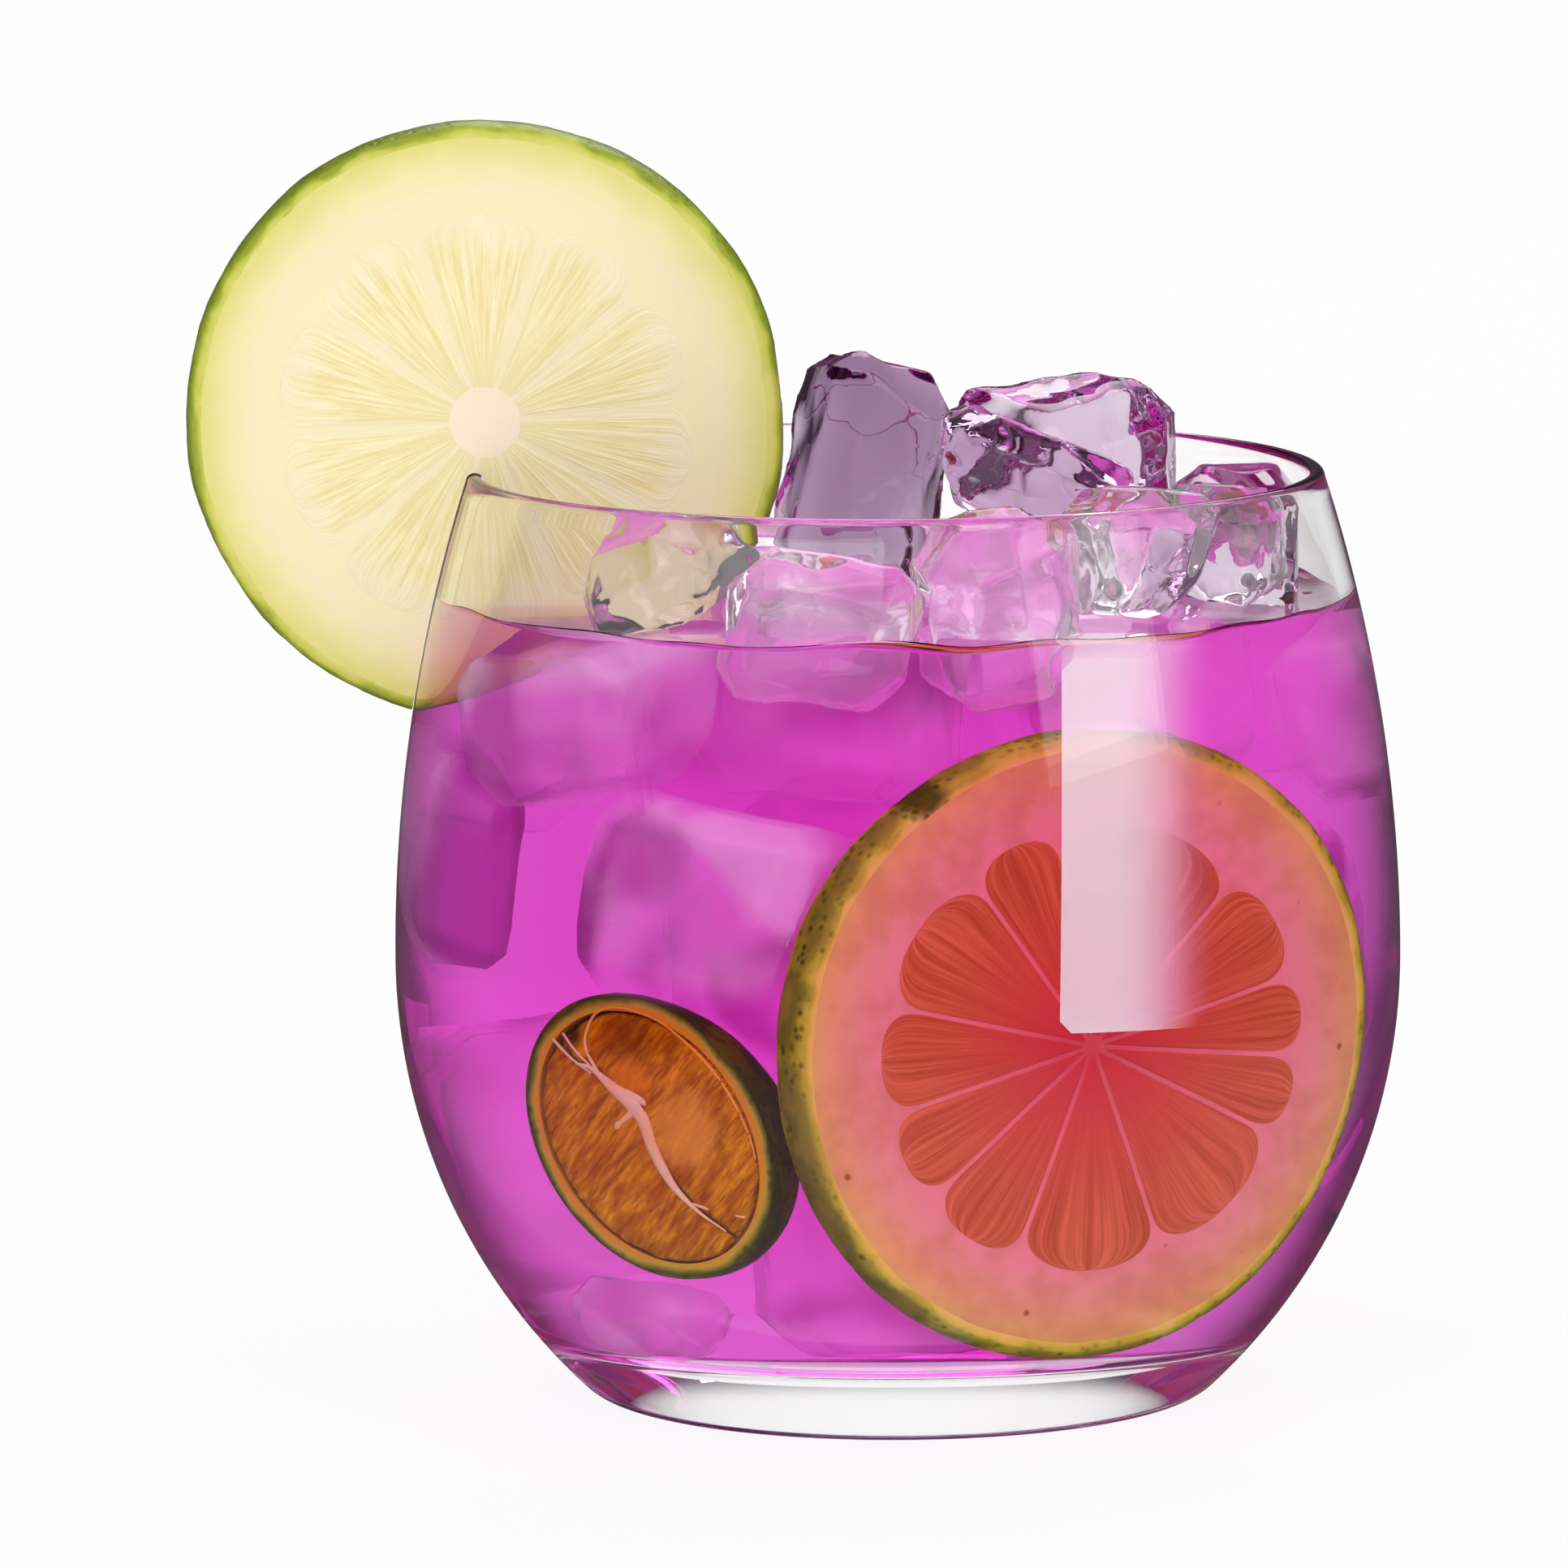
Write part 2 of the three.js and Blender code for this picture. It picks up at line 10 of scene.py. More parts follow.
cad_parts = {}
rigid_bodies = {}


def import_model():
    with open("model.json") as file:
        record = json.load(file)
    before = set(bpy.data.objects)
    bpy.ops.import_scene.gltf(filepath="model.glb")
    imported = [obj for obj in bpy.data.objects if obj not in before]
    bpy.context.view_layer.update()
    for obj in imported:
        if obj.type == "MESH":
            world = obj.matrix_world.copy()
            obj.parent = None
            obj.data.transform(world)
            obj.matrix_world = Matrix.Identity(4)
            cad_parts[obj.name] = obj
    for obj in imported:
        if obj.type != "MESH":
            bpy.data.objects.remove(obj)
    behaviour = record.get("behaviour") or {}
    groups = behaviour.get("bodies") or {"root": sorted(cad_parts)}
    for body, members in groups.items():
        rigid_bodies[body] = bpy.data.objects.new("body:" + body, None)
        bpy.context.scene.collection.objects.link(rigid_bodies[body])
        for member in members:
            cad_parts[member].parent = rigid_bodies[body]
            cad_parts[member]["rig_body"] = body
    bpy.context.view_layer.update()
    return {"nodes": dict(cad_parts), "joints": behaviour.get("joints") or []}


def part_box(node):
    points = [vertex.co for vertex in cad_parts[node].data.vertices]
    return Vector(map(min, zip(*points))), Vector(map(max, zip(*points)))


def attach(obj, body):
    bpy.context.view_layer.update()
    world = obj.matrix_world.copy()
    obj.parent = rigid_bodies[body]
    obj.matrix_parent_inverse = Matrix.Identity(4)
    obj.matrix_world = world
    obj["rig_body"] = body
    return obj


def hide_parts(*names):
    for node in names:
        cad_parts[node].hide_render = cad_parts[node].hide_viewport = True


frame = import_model()
nodes = frame["nodes"]
scene = bpy.context.scene
mm = 0.001
print("frame loaded:", len(nodes), "nodes")


# helpers for meshes

def meshOf(name, points, faces):
    mesh = bpy.data.meshes.new(name)
    mesh.from_pydata([tuple(p) for p in points], [], faces)
    mesh.update()
    mesh.shade_smooth()
    return mesh


def joinedMesh(name, meshes):
    points, faces = [], []
    for mesh in meshes:
        first = len(points)
        points += [tuple(v.co) for v in mesh.vertices]
        faces += [tuple(first + i for i in face.vertices) for face in mesh.polygons]
    return meshOf(name, points, faces)


# smooth faces, with a crease where they turn by more than the angle
def creased(mesh, angle):
    mesh.shade_smooth()
    mesh.set_sharp_from_angle(angle=math.radians(angle))
    return mesh


# faces turned outwards, and points closer than the distance made one
def cleaned(mesh, join=0):
    shape = bmesh.new()
    shape.from_mesh(mesh)
    if join:
        bmesh.ops.remove_doubles(shape, verts=shape.verts, dist=join)
        bmesh.ops.dissolve_degenerate(shape, edges=shape.edges, dist=join / 2)
    bmesh.ops.recalc_face_normals(shape, faces=shape.faces)
    shape.to_mesh(mesh)
    shape.free()
    return mesh


def addObject(name, data):
    made = bpy.data.objects.new(name, data)
    scene.collection.objects.link(made)
    return made


def addPiece(name, mesh, material, body, replaced, matrix=None):
    mesh.materials.clear()
    mesh.materials.append(material)
    if matrix is not None:
        keepPlace(mesh)
        mesh.transform(matrix)
    piece = addObject(name, mesh)
    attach(piece, body)
    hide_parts(*replaced)


# a mesh with modifiers worked into it
def worked(mesh, *steps):
    work = addObject("work", mesh)
    for kind, values in steps:
        modifier = work.modifiers.new(kind, kind)
        for key, value in values.items():
            setattr(modifier, key, value)
    graph = bpy.context.evaluated_depsgraph_get()
    made = bpy.data.meshes.new_from_object(work.evaluated_get(graph))
    bpy.data.objects.remove(work)
    return made


def cutBy(mesh, tool):
    helper = addObject("tool", tool)
    made = worked(mesh, ("BOOLEAN", {"operation": "DIFFERENCE", "solver": "MANIFOLD", "object": helper}))
    bpy.data.objects.remove(helper)
    return made


def meltedMesh(mesh, voxel, smooth):
    return worked(
        mesh, ("REMESH", {"mode": "VOXEL", "voxel_size": voxel * mm}),
        ("SMOOTH", {"factor": 0.5, "iterations": smooth}),
    )


def coordinates(mesh):
    flat = np.zeros(len(mesh.vertices) * 3)
    mesh.vertices.foreach_get("co", flat)
    return flat.reshape(-1, 3)


def vertexNormals(mesh):
    flat = np.zeros(len(mesh.vertices) * 3)
    mesh.vertex_normals.foreach_get("vector", flat)
    return flat.reshape(-1, 3)


def moveTo(mesh, points):
    mesh.vertices.foreach_set("co", np.asarray(points, dtype=np.float32).ravel())
    mesh.update()


# each point's own coordinates, so that a texture stays on its piece
def keepPlace(mesh):
    layer = mesh.attributes.new("place", "FLOAT_VECTOR", "POINT")
    layer.data.foreach_set("vector", coordinates(mesh).ravel())


def inMetres(points):
    return [tuple(value * mm for value in point) for point in points]


def turns(steps):
    return [2 * math.pi * i / steps for i in range(steps)]


def ringFaces(rings, steps):
    faces = []
    for low, high in zip(rings, rings[1:]):
        for i in range(steps):
            j = (i + 1) % steps
            if len(low) == 1 and len(high) == 1:
                continue
            if len(low) == 1:
                faces.append((low[0], high[j], high[i]))
            elif len(high) == 1:
                faces.append((low[i], low[j], high[0]))
            else:
                faces.append((low[i], low[j], high[j], high[i]))
    return faces


def ringsOf(count, steps):
    return [range(i * steps, (i + 1) * steps) for i in range(count)]


# faces that look the other way
def flipped(faces):
    return [(face[0], *face[:0:-1]) for face in faces]


# a profile in mm turned round the upright axis
def latheMesh(name, profile, steps, closed=False):
    points, rings = [], []
    for radius, height in inMetres(profile):
        if radius < 1e-7:
            rings.append([len(points)])
            points.append((0, 0, height))
            continue
        rings.append(list(range(len(points), len(points) + steps)))
        points += [(radius * math.cos(angle), radius * math.sin(angle), height) for angle in turns(steps)]
    return meshOf(name, points, ringFaces(rings + rings[:closed], steps))


# a turn that sets a flat piece on its edge
upright = (math.pi / 2, "X")


def placed(centre, *rotations):
    matrix = Matrix.Translation(centre)
    for angle, axis in rotations:
        matrix = matrix @ Matrix.Rotation(angle, 4, axis)
    return matrix


# helpers for materials

def linear(red, green, blue):
    def one(value):
        share = value / 255
        return share / 12.92 if share <= 0.04045 else ((share + 0.055) / 1.055) ** 2.4
    return (one(red), one(green), one(blue), 1)


def setInputs(node, values):
    for key, value in values.items():
        if isinstance(value, bpy.types.NodeSocket):
            node.id_data.links.new(value, node.inputs[key])
        else:
            node.inputs[key].default_value = value


def addNode(tree, kind, inputs=None, **settings):
    node = tree.nodes.new(kind)
    for key, value in settings.items():
        setattr(node, key, value)
    setInputs(node, inputs or {})
    return node


def treeOf(*values):
    return next(value.id_data for value in values if isinstance(value, bpy.types.NodeSocket))


def math2(operation, first, second=0.0):
    return addNode(treeOf(first, second), "ShaderNodeMath", {0: first, 1: second}, operation=operation).outputs[0]


times, plus, larger = (partial(math2, name) for name in ("MULTIPLY", "ADD", "MAXIMUM"))


# a share that goes evenly below and above nought, times an amount
def swing(share, amount):
    return times(math2("SUBTRACT", share, 0.5), amount)


def ranged(value, low, high, toLow=0.0, toHigh=1.0):
    inputs = {"Value": value, "From Min": low, "From Max": high, "To Min": toLow, "To Max": toHigh}
    return addNode(value.id_data, "ShaderNodeMapRange", inputs, interpolation_type="SMOOTHSTEP").outputs["Result"]


def mixed(share, first, second):
    return addNode(share.id_data, "ShaderNodeMix", {0: share, 6: first, 7: second}, data_type="RGBA").outputs[2]


def mixedValue(share, first, second):
    return addNode(share.id_data, "ShaderNodeMix", {0: share, 2: first, 3: second}, data_type="FLOAT").outputs[0]


def ramp(value, stops):
    node = addNode(value.id_data, "ShaderNodeValToRGB", {"Fac": value})
    elements = node.color_ramp.elements
    while len(elements) < len(stops):
        elements.new(0.5)
    for element, (position, colour) in zip(elements, stops):
        element.position = position
        element.color = colour
    return node.outputs["Color"]


def axesOf(place):
    return addNode(place.id_data, "ShaderNodeSeparateXYZ", {0: place}).outputs


def between(first, second):
    inputs = {0: first, 1: second}
    return addNode(first.id_data, "ShaderNodeVectorMath", inputs, operation="DISTANCE").outputs["Value"]


def noiseAt(place, scale, detail, **more):
    inputs = {"Vector": place, "Scale": scale, "Detail": detail, **more}
    return addNode(place.id_data, "ShaderNodeTexNoise", inputs).outputs["Fac"]


def cellsAt(place, scale, feature="F1"):
    inputs = {"Vector": place, "Scale": scale}
    return addNode(place.id_data, "ShaderNodeTexVoronoi", inputs, feature=feature).outputs["Distance"]


def keptPlace(tree):
    return addNode(tree, "ShaderNodeAttribute", attribute_name="place").outputs["Vector"]


def objectPlace(tree):
    return addNode(tree, "ShaderNodeTexCoord").outputs["Object"]


def newMaterial(name):
    material = bpy.data.materials.new(name)
    material.use_nodes = True
    tree = material.node_tree
    tree.nodes.clear()
    shader = addNode(tree, "ShaderNodeBsdfPrincipled")
    addNode(tree, "ShaderNodeOutputMaterial", {"Surface": shader.outputs[0]})
    return material, tree, shader


def nodeOf(material, kind):
    return next(node for node in material.node_tree.nodes if node.type == kind)


# lamps shine straight through a clear piece, and the eye sees it bend what lies behind
def clearMaterial(name, refraction, shine, clearness, tint=None, density=0):
    material, tree, shader = newMaterial(name)
    setInputs(shader, {
        "Base Color": (1, 1, 1, 1), "Roughness": 0, "IOR": refraction,
        "Transmission Weight": clearness, "Specular Tint": (shine, shine, shine, 1),
    })
    path = addNode(tree, "ShaderNodeLightPath")
    through = addNode(tree, "ShaderNodeBsdfTransparent")
    inputs = {0: path.outputs["Is Shadow Ray"], 1: shader.outputs[0], 2: through.outputs[0]}
    blend = addNode(tree, "ShaderNodeMixShader", inputs)
    output = nodeOf(material, "OUTPUT_MATERIAL")
    setInputs(output, {"Surface": blend.outputs[0]})
    if tint:
        absorb = addNode(tree, "ShaderNodeVolumeAbsorption", {"Color": (*tint, 1), "Density": density})
        setInputs(output, {"Volume": absorb.outputs[0]})
    return material


# a piece of fruit's colour and relief, with the plain values of its look
def setFruit(shader, colour, height, look):
    inputs = {"Strength": look["relief"], "Distance": look["reliefDepth"] * mm, "Height": height}
    bump = addNode(shader.id_data, "ShaderNodeBump", inputs)
    setInputs(shader, {
        "Base Color": colour, "Normal": bump.outputs[0],
        "Roughness": look["roughness"], "IOR": look["refraction"],
    })


def newGroup(name, inputs, outputs):
    group = bpy.data.node_groups.new(name, "ShaderNodeTree")
    for label, kind, value in inputs:
        socket = group.interface.new_socket(label, in_out="INPUT", socket_type=kind)
        socket.default_value = value
    for label, kind in outputs:
        group.interface.new_socket(label, in_out="OUTPUT", socket_type=kind)
    return group, group.nodes.new("NodeGroupInput").outputs, group.nodes.new("NodeGroupOutput")


def fillGroup(tree, group, inputs):
    return addNode(tree, "ShaderNodeGroup", inputs, node_tree=group).outputs


# shared shader groups

number, colourKind = "NodeSocketFloat", "NodeSocketColor"
placeInput = ("Place", "NodeSocketVector", (0, 0, 0))

# streaks of juice sacs, along the second coordinate
pulpFibres, enter, leave = newGroup(
    "pulpFibres",
    [placeInput, ("Across", number, 16), ("Along", number, 2.2)],
    [("Streak", number), ("Sacs", number)],
)
x, y, z = axesOf(enter["Place"])
across, along = times(x, enter["Across"]), times(y, enter["Along"])
stretched = addNode(pulpFibres, "ShaderNodeCombineXYZ", {0: across, 1: along, 2: z}).outputs[0]
broad = times(noiseAt(stretched, 1, 3, Roughness=0.6), 0.65)
fine = times(noiseAt(stretched, 2.7, 2, Roughness=0.5), 0.35)
setInputs(leave, {
    "Streak": ranged(plus(broad, fine), 0.32, 0.7),
    "Sacs": cellsAt(stretched, 0.9, "SMOOTH_F1"),
})

# oil glands in a citrus skin
peelPores, enter, leave = newGroup(
    "peelPores",
    [placeInput, ("Density", number, 900)],
    [("Pore", number), ("Blotch", number)],
)
setInputs(leave, {
    "Pore": ranged(cellsAt(enter["Place"], enter["Density"]), 0.05, 0.5),
    "Blotch": ranged(noiseAt(enter["Place"], 160, 3), 0.35, 0.65),
})

# fine mottling of soft white tissue
softTissue, enter, leave = newGroup(
    "softTissue",
    [placeInput, ("Scale", number, 700)],
    [("Mottle", number), ("Height", number)],
)
coarse = noiseAt(enter["Place"], times(enter["Scale"], 0.3), 4)
setInputs(leave, {
    "Mottle": ranged(coarse, 0.35, 0.68),
    "Height": noiseAt(enter["Place"], enter["Scale"], 2),
})

# pale milky swirls in ice, and dark creases that are painted shade standing in for the darkness refraction gives;
# the ice is clear between them
iceClouds, enter, leave = newGroup(
    "iceClouds",
    [placeInput, ("Scale", number, 77), ("Thinnest", number, 0.2),
     ("Pale", colourKind, (1, 1, 1, 1)), ("Dark", colourKind, (0.5, 0.5, 0.5, 1))],
    [("Colour", colourKind), ("Cloud", number)],
)
swirls = noiseAt(enter["Place"], enter["Scale"], 1, Distortion=0.7)
bands = noiseAt(enter["Place"], times(enter["Scale"], 0.7), 0.5, Distortion=0.9)
# painted shade: dark creases that stand in for the darkness refraction gives in the ice
paintedShade = ranged(bands, 0.52, 0.72)
cloud = ranged(swirls, 0.4, 0.68, enter["Thinnest"], 1.0)
setInputs(leave, {
    "Colour": mixed(paintedShade, enter["Pale"], enter["Dark"]),
    "Cloud": larger(cloud, paintedShade),
})
print("shader groups made")


# glass

glassLook = {
    "height": 83.2, "belly": 45, "bellyHeight": 39.5, "rim": 38.3, "foot": 25.5, "heel": 4.5,
    "wall": 1.8, "lip": 1.5, "base": 8, "crown": 2, "floor": 26.5, "floorRounding": 5,
    "steps": 192, "refraction": 1.5, "shine": 0.4,
}
glassRows = {"floor": 12, "edge": 10, "lower": 30, "upper": 26, "lip": 12}


def arcPoints(centre, radius, start, end, steps):
    angles = [start + (end - start) * i / steps for i in range(steps + 1)]
    return [(centre[0] + radius * math.cos(a), centre[1] + radius * math.sin(a)) for a in angles]


def bodyCurve(belly, top, topHeight, flat, edge, floor, crown):
    middle = glassLook["bellyHeight"]
    rise, lean = topHeight - middle, belly - top
    drop, reach = middle - floor - edge, belly - flat
    upper = (rise * rise + lean * lean) / (2 * lean)
    lower = (reach * reach + drop * drop - edge * edge) / (2 * (reach - edge))
    return {
        "belly": belly, "flat": flat, "edge": edge, "floor": floor, "crown": crown,
        "upper": upper, "lower": lower, "drop": drop,
    }


def bodyPoints(curve, inset, topHeight):
    middle, rows = glassLook["bellyHeight"], glassRows
    flat, edge, floor = curve["flat"], curve["edge"], curve["floor"]
    belly, upper, lower = curve["belly"], curve["upper"], curve["lower"]
    edgeAngle = -math.atan2(curve["drop"], flat - belly + lower)
    topAngle = math.asin((topHeight - middle) / (upper - inset))
    shares = [i / rows["floor"] for i in range(rows["floor"])]
    points = [(flat * share, floor + curve["crown"] * (1 - share ** 2) + inset) for share in shares]
    points += arcPoints((flat, floor + edge), edge - inset, -math.pi / 2, edgeAngle, rows["edge"])
    points += arcPoints((belly - lower, middle), lower - inset, edgeAngle, 0, rows["lower"])[1:]
    points += arcPoints((belly - upper, middle), upper - inset, 0, topAngle, rows["upper"])[1:]
    return points


def lipPoints(swell):
    centre = (glassLook["rim"] - lipRadius, lipHeight)
    return arcPoints(centre, lipRadius + swell, 0, math.pi, glassRows["lip"])[1:-1]


lipRadius = glassLook["lip"] / 2
lipHeight = glassLook["height"] - lipRadius
outside = bodyCurve(
    glassLook["belly"], glassLook["rim"], lipHeight, glassLook["foot"], glassLook["heel"], 0, 0
)
inside = bodyCurve(
    glassLook["belly"] - glassLook["wall"], glassLook["rim"] - glassLook["lip"], lipHeight,
    glassLook["floor"], glassLook["floorRounding"], glassLook["base"], glassLook["crown"],
)
glassProfile = bodyPoints(outside, 0, lipHeight) + lipPoints(0) + bodyPoints(inside, 0, lipHeight)[::-1]
clearGlass = clearMaterial("clearGlass", glassLook["refraction"], glassLook["shine"], 1)
tumblerMesh = latheMesh("tumbler", glassProfile, glassLook["steps"])
addPiece("tumbler", tumblerMesh, clearGlass, "glass", ["glass"])
print("glass made")


# ice

# a fade goes from where a block is whole to where it is gone, in mm
iceLook = {
    "voxel": 0.6, "overlap": 0.1, "topRefraction": 1.31, "sunkRefraction": 1.035,
    # the purple tint of the ice above the drink is painted refraction: it stands in for the drink seen through
    # the ice and mirrored in it, and is deeper in the peak's dark tint
    "tint": (0.66, 0.4, 0.66), "density": 52, "frontDensity": 14,
    "darkTint": (0.45, 0.2, 0.45), "darkDensity": 150,
    # the crease colour is painted shade, standing in for the darkness of refraction
    "cloudSize": 13, "cloud": linear(255, 236, 252), "paintedShade": linear(188, 96, 176), "thinnest": 0.2,
    # the pale block's milky colour and its fade along x are partly the ice's own milkiness and partly a painted
    # window reflection on the glass
    "frontClearness": 0.96, "sunkClearness": 0.78, "milkyClearness": 0.56, "restFade": (45, 39),
    "paleClearness": 0.5, "milkAndReflectionColour": (0.96, 1, 0.92, 1), "paleEdge": 0.2, "reflectionFade": (18, 25.5),
}
sunkShape = {"melt": 2, "wave": 0.5, "waveSize": 9.0, "dent": 0.5, "dentSize": 11.0}
topShape = {"melt": 2, "wave": 0.55, "waveSize": 6.0, "dent": 0.45, "dentSize": 8.0}
waveDrop, dentReach, seedSteps = 0.4, 0.62, (3.7, 1.9, 5.3)


# a block with its edges melted round and shallow hollows in its faces
def meltedIce(node, shape, seed):
    mesh = meltedMesh(nodes[node].data.copy(), iceLook["voxel"], shape["melt"])
    points, normals = coordinates(mesh), vertexNormals(mesh)
    shift = Vector([seed * step for step in seedSteps])
    amounts = np.zeros(len(points))
    for i, point in enumerate(points):
        place = Vector(point) / mm
        wave = noise.noise(place / shape["waveSize"] + shift)
        nearest = noise.voronoi(place / shape["dentSize"] - shift)[0][0]
        hollow = max(0, 1 - (nearest / dentReach) ** 2)
        amounts[i] = shape["wave"] * (wave - waveDrop) - shape["dent"] * hollow
    moveTo(mesh, points + normals * (amounts * mm)[:, None])
    mesh.shade_smooth()
    return mesh


# a block that keeps its flat faces and has narrow round edges
def crispIce(node, edge):
    bevel = {"width": edge * mm, "segments": 3, "limit_method": "ANGLE", "angle_limit": math.radians(15)}
    return creased(worked(nodes[node].data.copy(), ("BEVEL", bevel)), 35)


# under the surface, bending is against the drink
def cloudyMaterial(name, clearness):
    material = clearMaterial(name, iceLook["sunkRefraction"], 0, clearness)
    tree = material.node_tree
    clouds = fillGroup(tree, iceClouds, {
        "Place": objectPlace(tree), "Scale": 1 / (iceLook["cloudSize"] * mm), "Thinnest": iceLook["thinnest"],
        "Pale": iceLook["cloud"], "Dark": iceLook["paintedShade"],
    })
    shader = nodeOf(material, "BSDF_PRINCIPLED")
    setInputs(shader, {"Base Color": clouds["Colour"], "Alpha": clouds["Cloud"]})
    return material


# thins a block away along an axis
def fadeOut(material, axis, whole, gone):
    tree, shader = material.node_tree, nodeOf(material, "BSDF_PRINCIPLED")
    alpha = shader.inputs["Alpha"]
    before = alpha.links[0].from_socket if alpha.is_linked else 1.0
    share = ranged(axesOf(objectPlace(tree))[axis], whole * mm, gone * mm, 1.0, 0.0)
    setInputs(shader, {"Alpha": times(share, before)})


# painted refraction: the ice above the drink is tinted purple to stand in for the drink seen through it
bending, tint = iceLook["topRefraction"], iceLook["tint"]
topIce = clearMaterial("topIce", bending, 1, 1, tint, iceLook["density"])
frontIce = clearMaterial("frontIce", bending, 1, iceLook["frontClearness"], tint, iceLook["frontDensity"])
darkIce = clearMaterial("darkIce", bending, 1, 1, iceLook["darkTint"], iceLook["darkDensity"])
sunkIce = cloudyMaterial("sunkIce", iceLook["sunkClearness"])
milkyIce = cloudyMaterial("milkyIce", iceLook["milkyClearness"])
restingIce = cloudyMaterial("restingIce", iceLook["milkyClearness"])
fadeOut(restingIce, 2, *iceLook["restFade"])
# partly painted reflection: a milky pale block whose paleness fades out along x, like a bright window mirrored on
# the glass
paleIceAndReflection = clearMaterial("paleIceAndReflection", iceLook["sunkRefraction"], 0, iceLook["paleClearness"])
nodeOf(paleIceAndReflection, "BSDF_PRINCIPLED").inputs["Base Color"].default_value = iceLook["milkAndReflectionColour"]
fadeOut(paleIceAndReflection, 0, *iceLook["reflectionFade"])
ownIce = {
    "ice_peak": darkIce, "ice_sunk_01": paleIceAndReflection, "ice_sunk_07": milkyIce, "ice_sunk_09": restingIce,
    "ice_sunk_10": milkyIce,
}

# the drink has a pocket for each block at its surface
iceNodes = sorted(name for name in nodes if name.startswith("ice_"))
pockets = []
for seed, node in enumerate(iceNodes, 1):
    sunk = node.startswith("ice_sunk")
    look = sunkIce if sunk else frontIce if node.startswith("ice_front") else topIce
    look = ownIce.get(node, look)
    if look == paleIceAndReflection:
        mesh = crispIce(node, iceLook["paleEdge"])
    else:
        mesh = meltedIce(node, sunkShape if sunk else topShape, seed)
    if not sunk:
        pockets.append(mesh.copy())
        moveTo(pockets[-1], coordinates(mesh) - vertexNormals(mesh) * iceLook["overlap"] * mm)
    addPiece("clear_" + node, mesh, look, nodes[node]["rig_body"], [node])
print("ice made:", len(iceNodes), "blocks,", len(pockets), "at the surface")


# drink

drinkLook = {
    "level": 71.2, "climb": 1.1, "climbReach": 1.1, "overlap": 0.12, "refraction": 1.34,
    "density": 37, "tint": (0.895, 0.037, 0.805), "steps": 192, "ripple": 0.8, "rippleSize": 9,
    "rings": (0.15, 0.35, 0.6, 0.9, 1.3, 1.8, 2.5, 3.5, 5, 9, 15, 22, 30),
}
level = drinkLook["level"]
drinkProfile = bodyPoints(inside, -drinkLook["overlap"], level + drinkLook["climb"])
wallRadius = drinkProfile[-1][0]
for inward in drinkLook["rings"]:
    lift = drinkLook["climb"] * math.exp(-inward / drinkLook["climbReach"])
    drinkProfile.append((wallRadius - inward, level + lift))
drinkProfile.append((0, level))
drinkMesh = latheMesh("mojito", drinkProfile, drinkLook["steps"])
surface = coordinates(drinkMesh)
for point in surface:
    if point[2] > (level - 0.1) * mm:
        share = math.hypot(point[0], point[1]) / (wallRadius * mm)
        wave = noise.noise(Vector(point) / (drinkLook["rippleSize"] * mm))
        point[2] += drinkLook["ripple"] * mm * share ** 4 * wave
moveTo(drinkMesh, surface)
drinkMesh = creased(cutBy(drinkMesh, joinedMesh("pockets", pockets)), 38)

magentaDrink = clearMaterial(
    "magentaDrink", drinkLook["refraction"], 0, 1, drinkLook["tint"], drinkLook["density"]
)
addPiece("mojito", drinkMesh, magentaDrink, "glass", ["drink"])
print("drink made:", len(drinkMesh.polygons), "faces")


# citrus wheels

# lengths in mm; a wobble is its count, turn and share of the radius, and a dent its angle, width and share
rimWheel = {
    "name": "rim_slice", "node": "rim_wheel", "slotName": "rim", "body": "rim_wheel",
    "radius": 27, "thickness": 5, "peel": 1.4, "crown": 0.5, "pulpRadius": 18.8, "core": 3.2,
    "membrane": 0.3, "corner": 0.16, "firstMembrane": -90, "sweeps": [36, 38, 33, 35, 32, 40, 34, 37, 39, 36],
    "slack": 0.008, "wobble": [(3, 0.4, 0.003), (5, 1.9, 0.002), (11, 0.3, 0.0015), (23, 2.0, 0.001)],
    "dents": [(0.28, 0.2, 0.016), (3.9, 0.25, 0.008)], "seed": 4.2, "uneven": 0.1, "snug": 0.02, "pillow": 0.05,
    "slitGap": 0.12, "slitLow": 50,
}
sunkWheel = {
    "name": "sunk_slice", "node": "drink_wheel", "slotName": "drink_wheel", "body": "glass",
    "radius": 27, "thickness": 4.4, "peel": 1.5, "crown": 0.5, "pulpRadius": 19, "core": 0.9,
    "membrane": 0.36, "corner": 0.2, "firstMembrane": 125, "sweeps": [41, 29, 25, 29, 41, 42, 21, 21, 32, 53, 26],
    "slack": 0.006, "wobble": [(2, 1.0, 0.002), (5, 0.9, 0.002), (9, 2.3, 0.001), (19, 1.0, 0.001)],
    "dents": [(2.1, 0.3, 0.008)], "seed": 9.7, "uneven": 0.12, "snug": 0.02, "pillow": 0.08,
    "turn": 27.5,
}
wheelMake = {
    "peelSteps": 240, "peelRows": 12, "crownPower": 2.2, "edgeRound": 0.12, "poreLift": 0.05, "poreSize": 0.9,
    "pithSteps": 160, "pithRings": 22, "pithOverlap": 0.05, "unevenSize": 6, "cornerPower": 2.6, "tipRoom": 1.05,
    "rows": 34, "columns": 14, "socketDepth": 4, "join": 0.004,
}


def outlineShare(wheel, angle):
    wobble = sum(share * math.sin(count * angle + turn) for count, turn, share in wheel["wobble"])
    dents = sum(
        depth * math.exp(-(((angle - where + math.pi) % (2 * math.pi) - math.pi) / width) ** 2)
        for where, width, depth in wheel["dents"]
    )
    return 1 - wheel["slack"] + wobble - dents


def faceHeight(wheel, x, y):
    place = Vector((x, y, wheel["seed"])) / wheelMake["unevenSize"]
    return wheel["thickness"] / 2 + wheel["uneven"] * noise.noise(place)


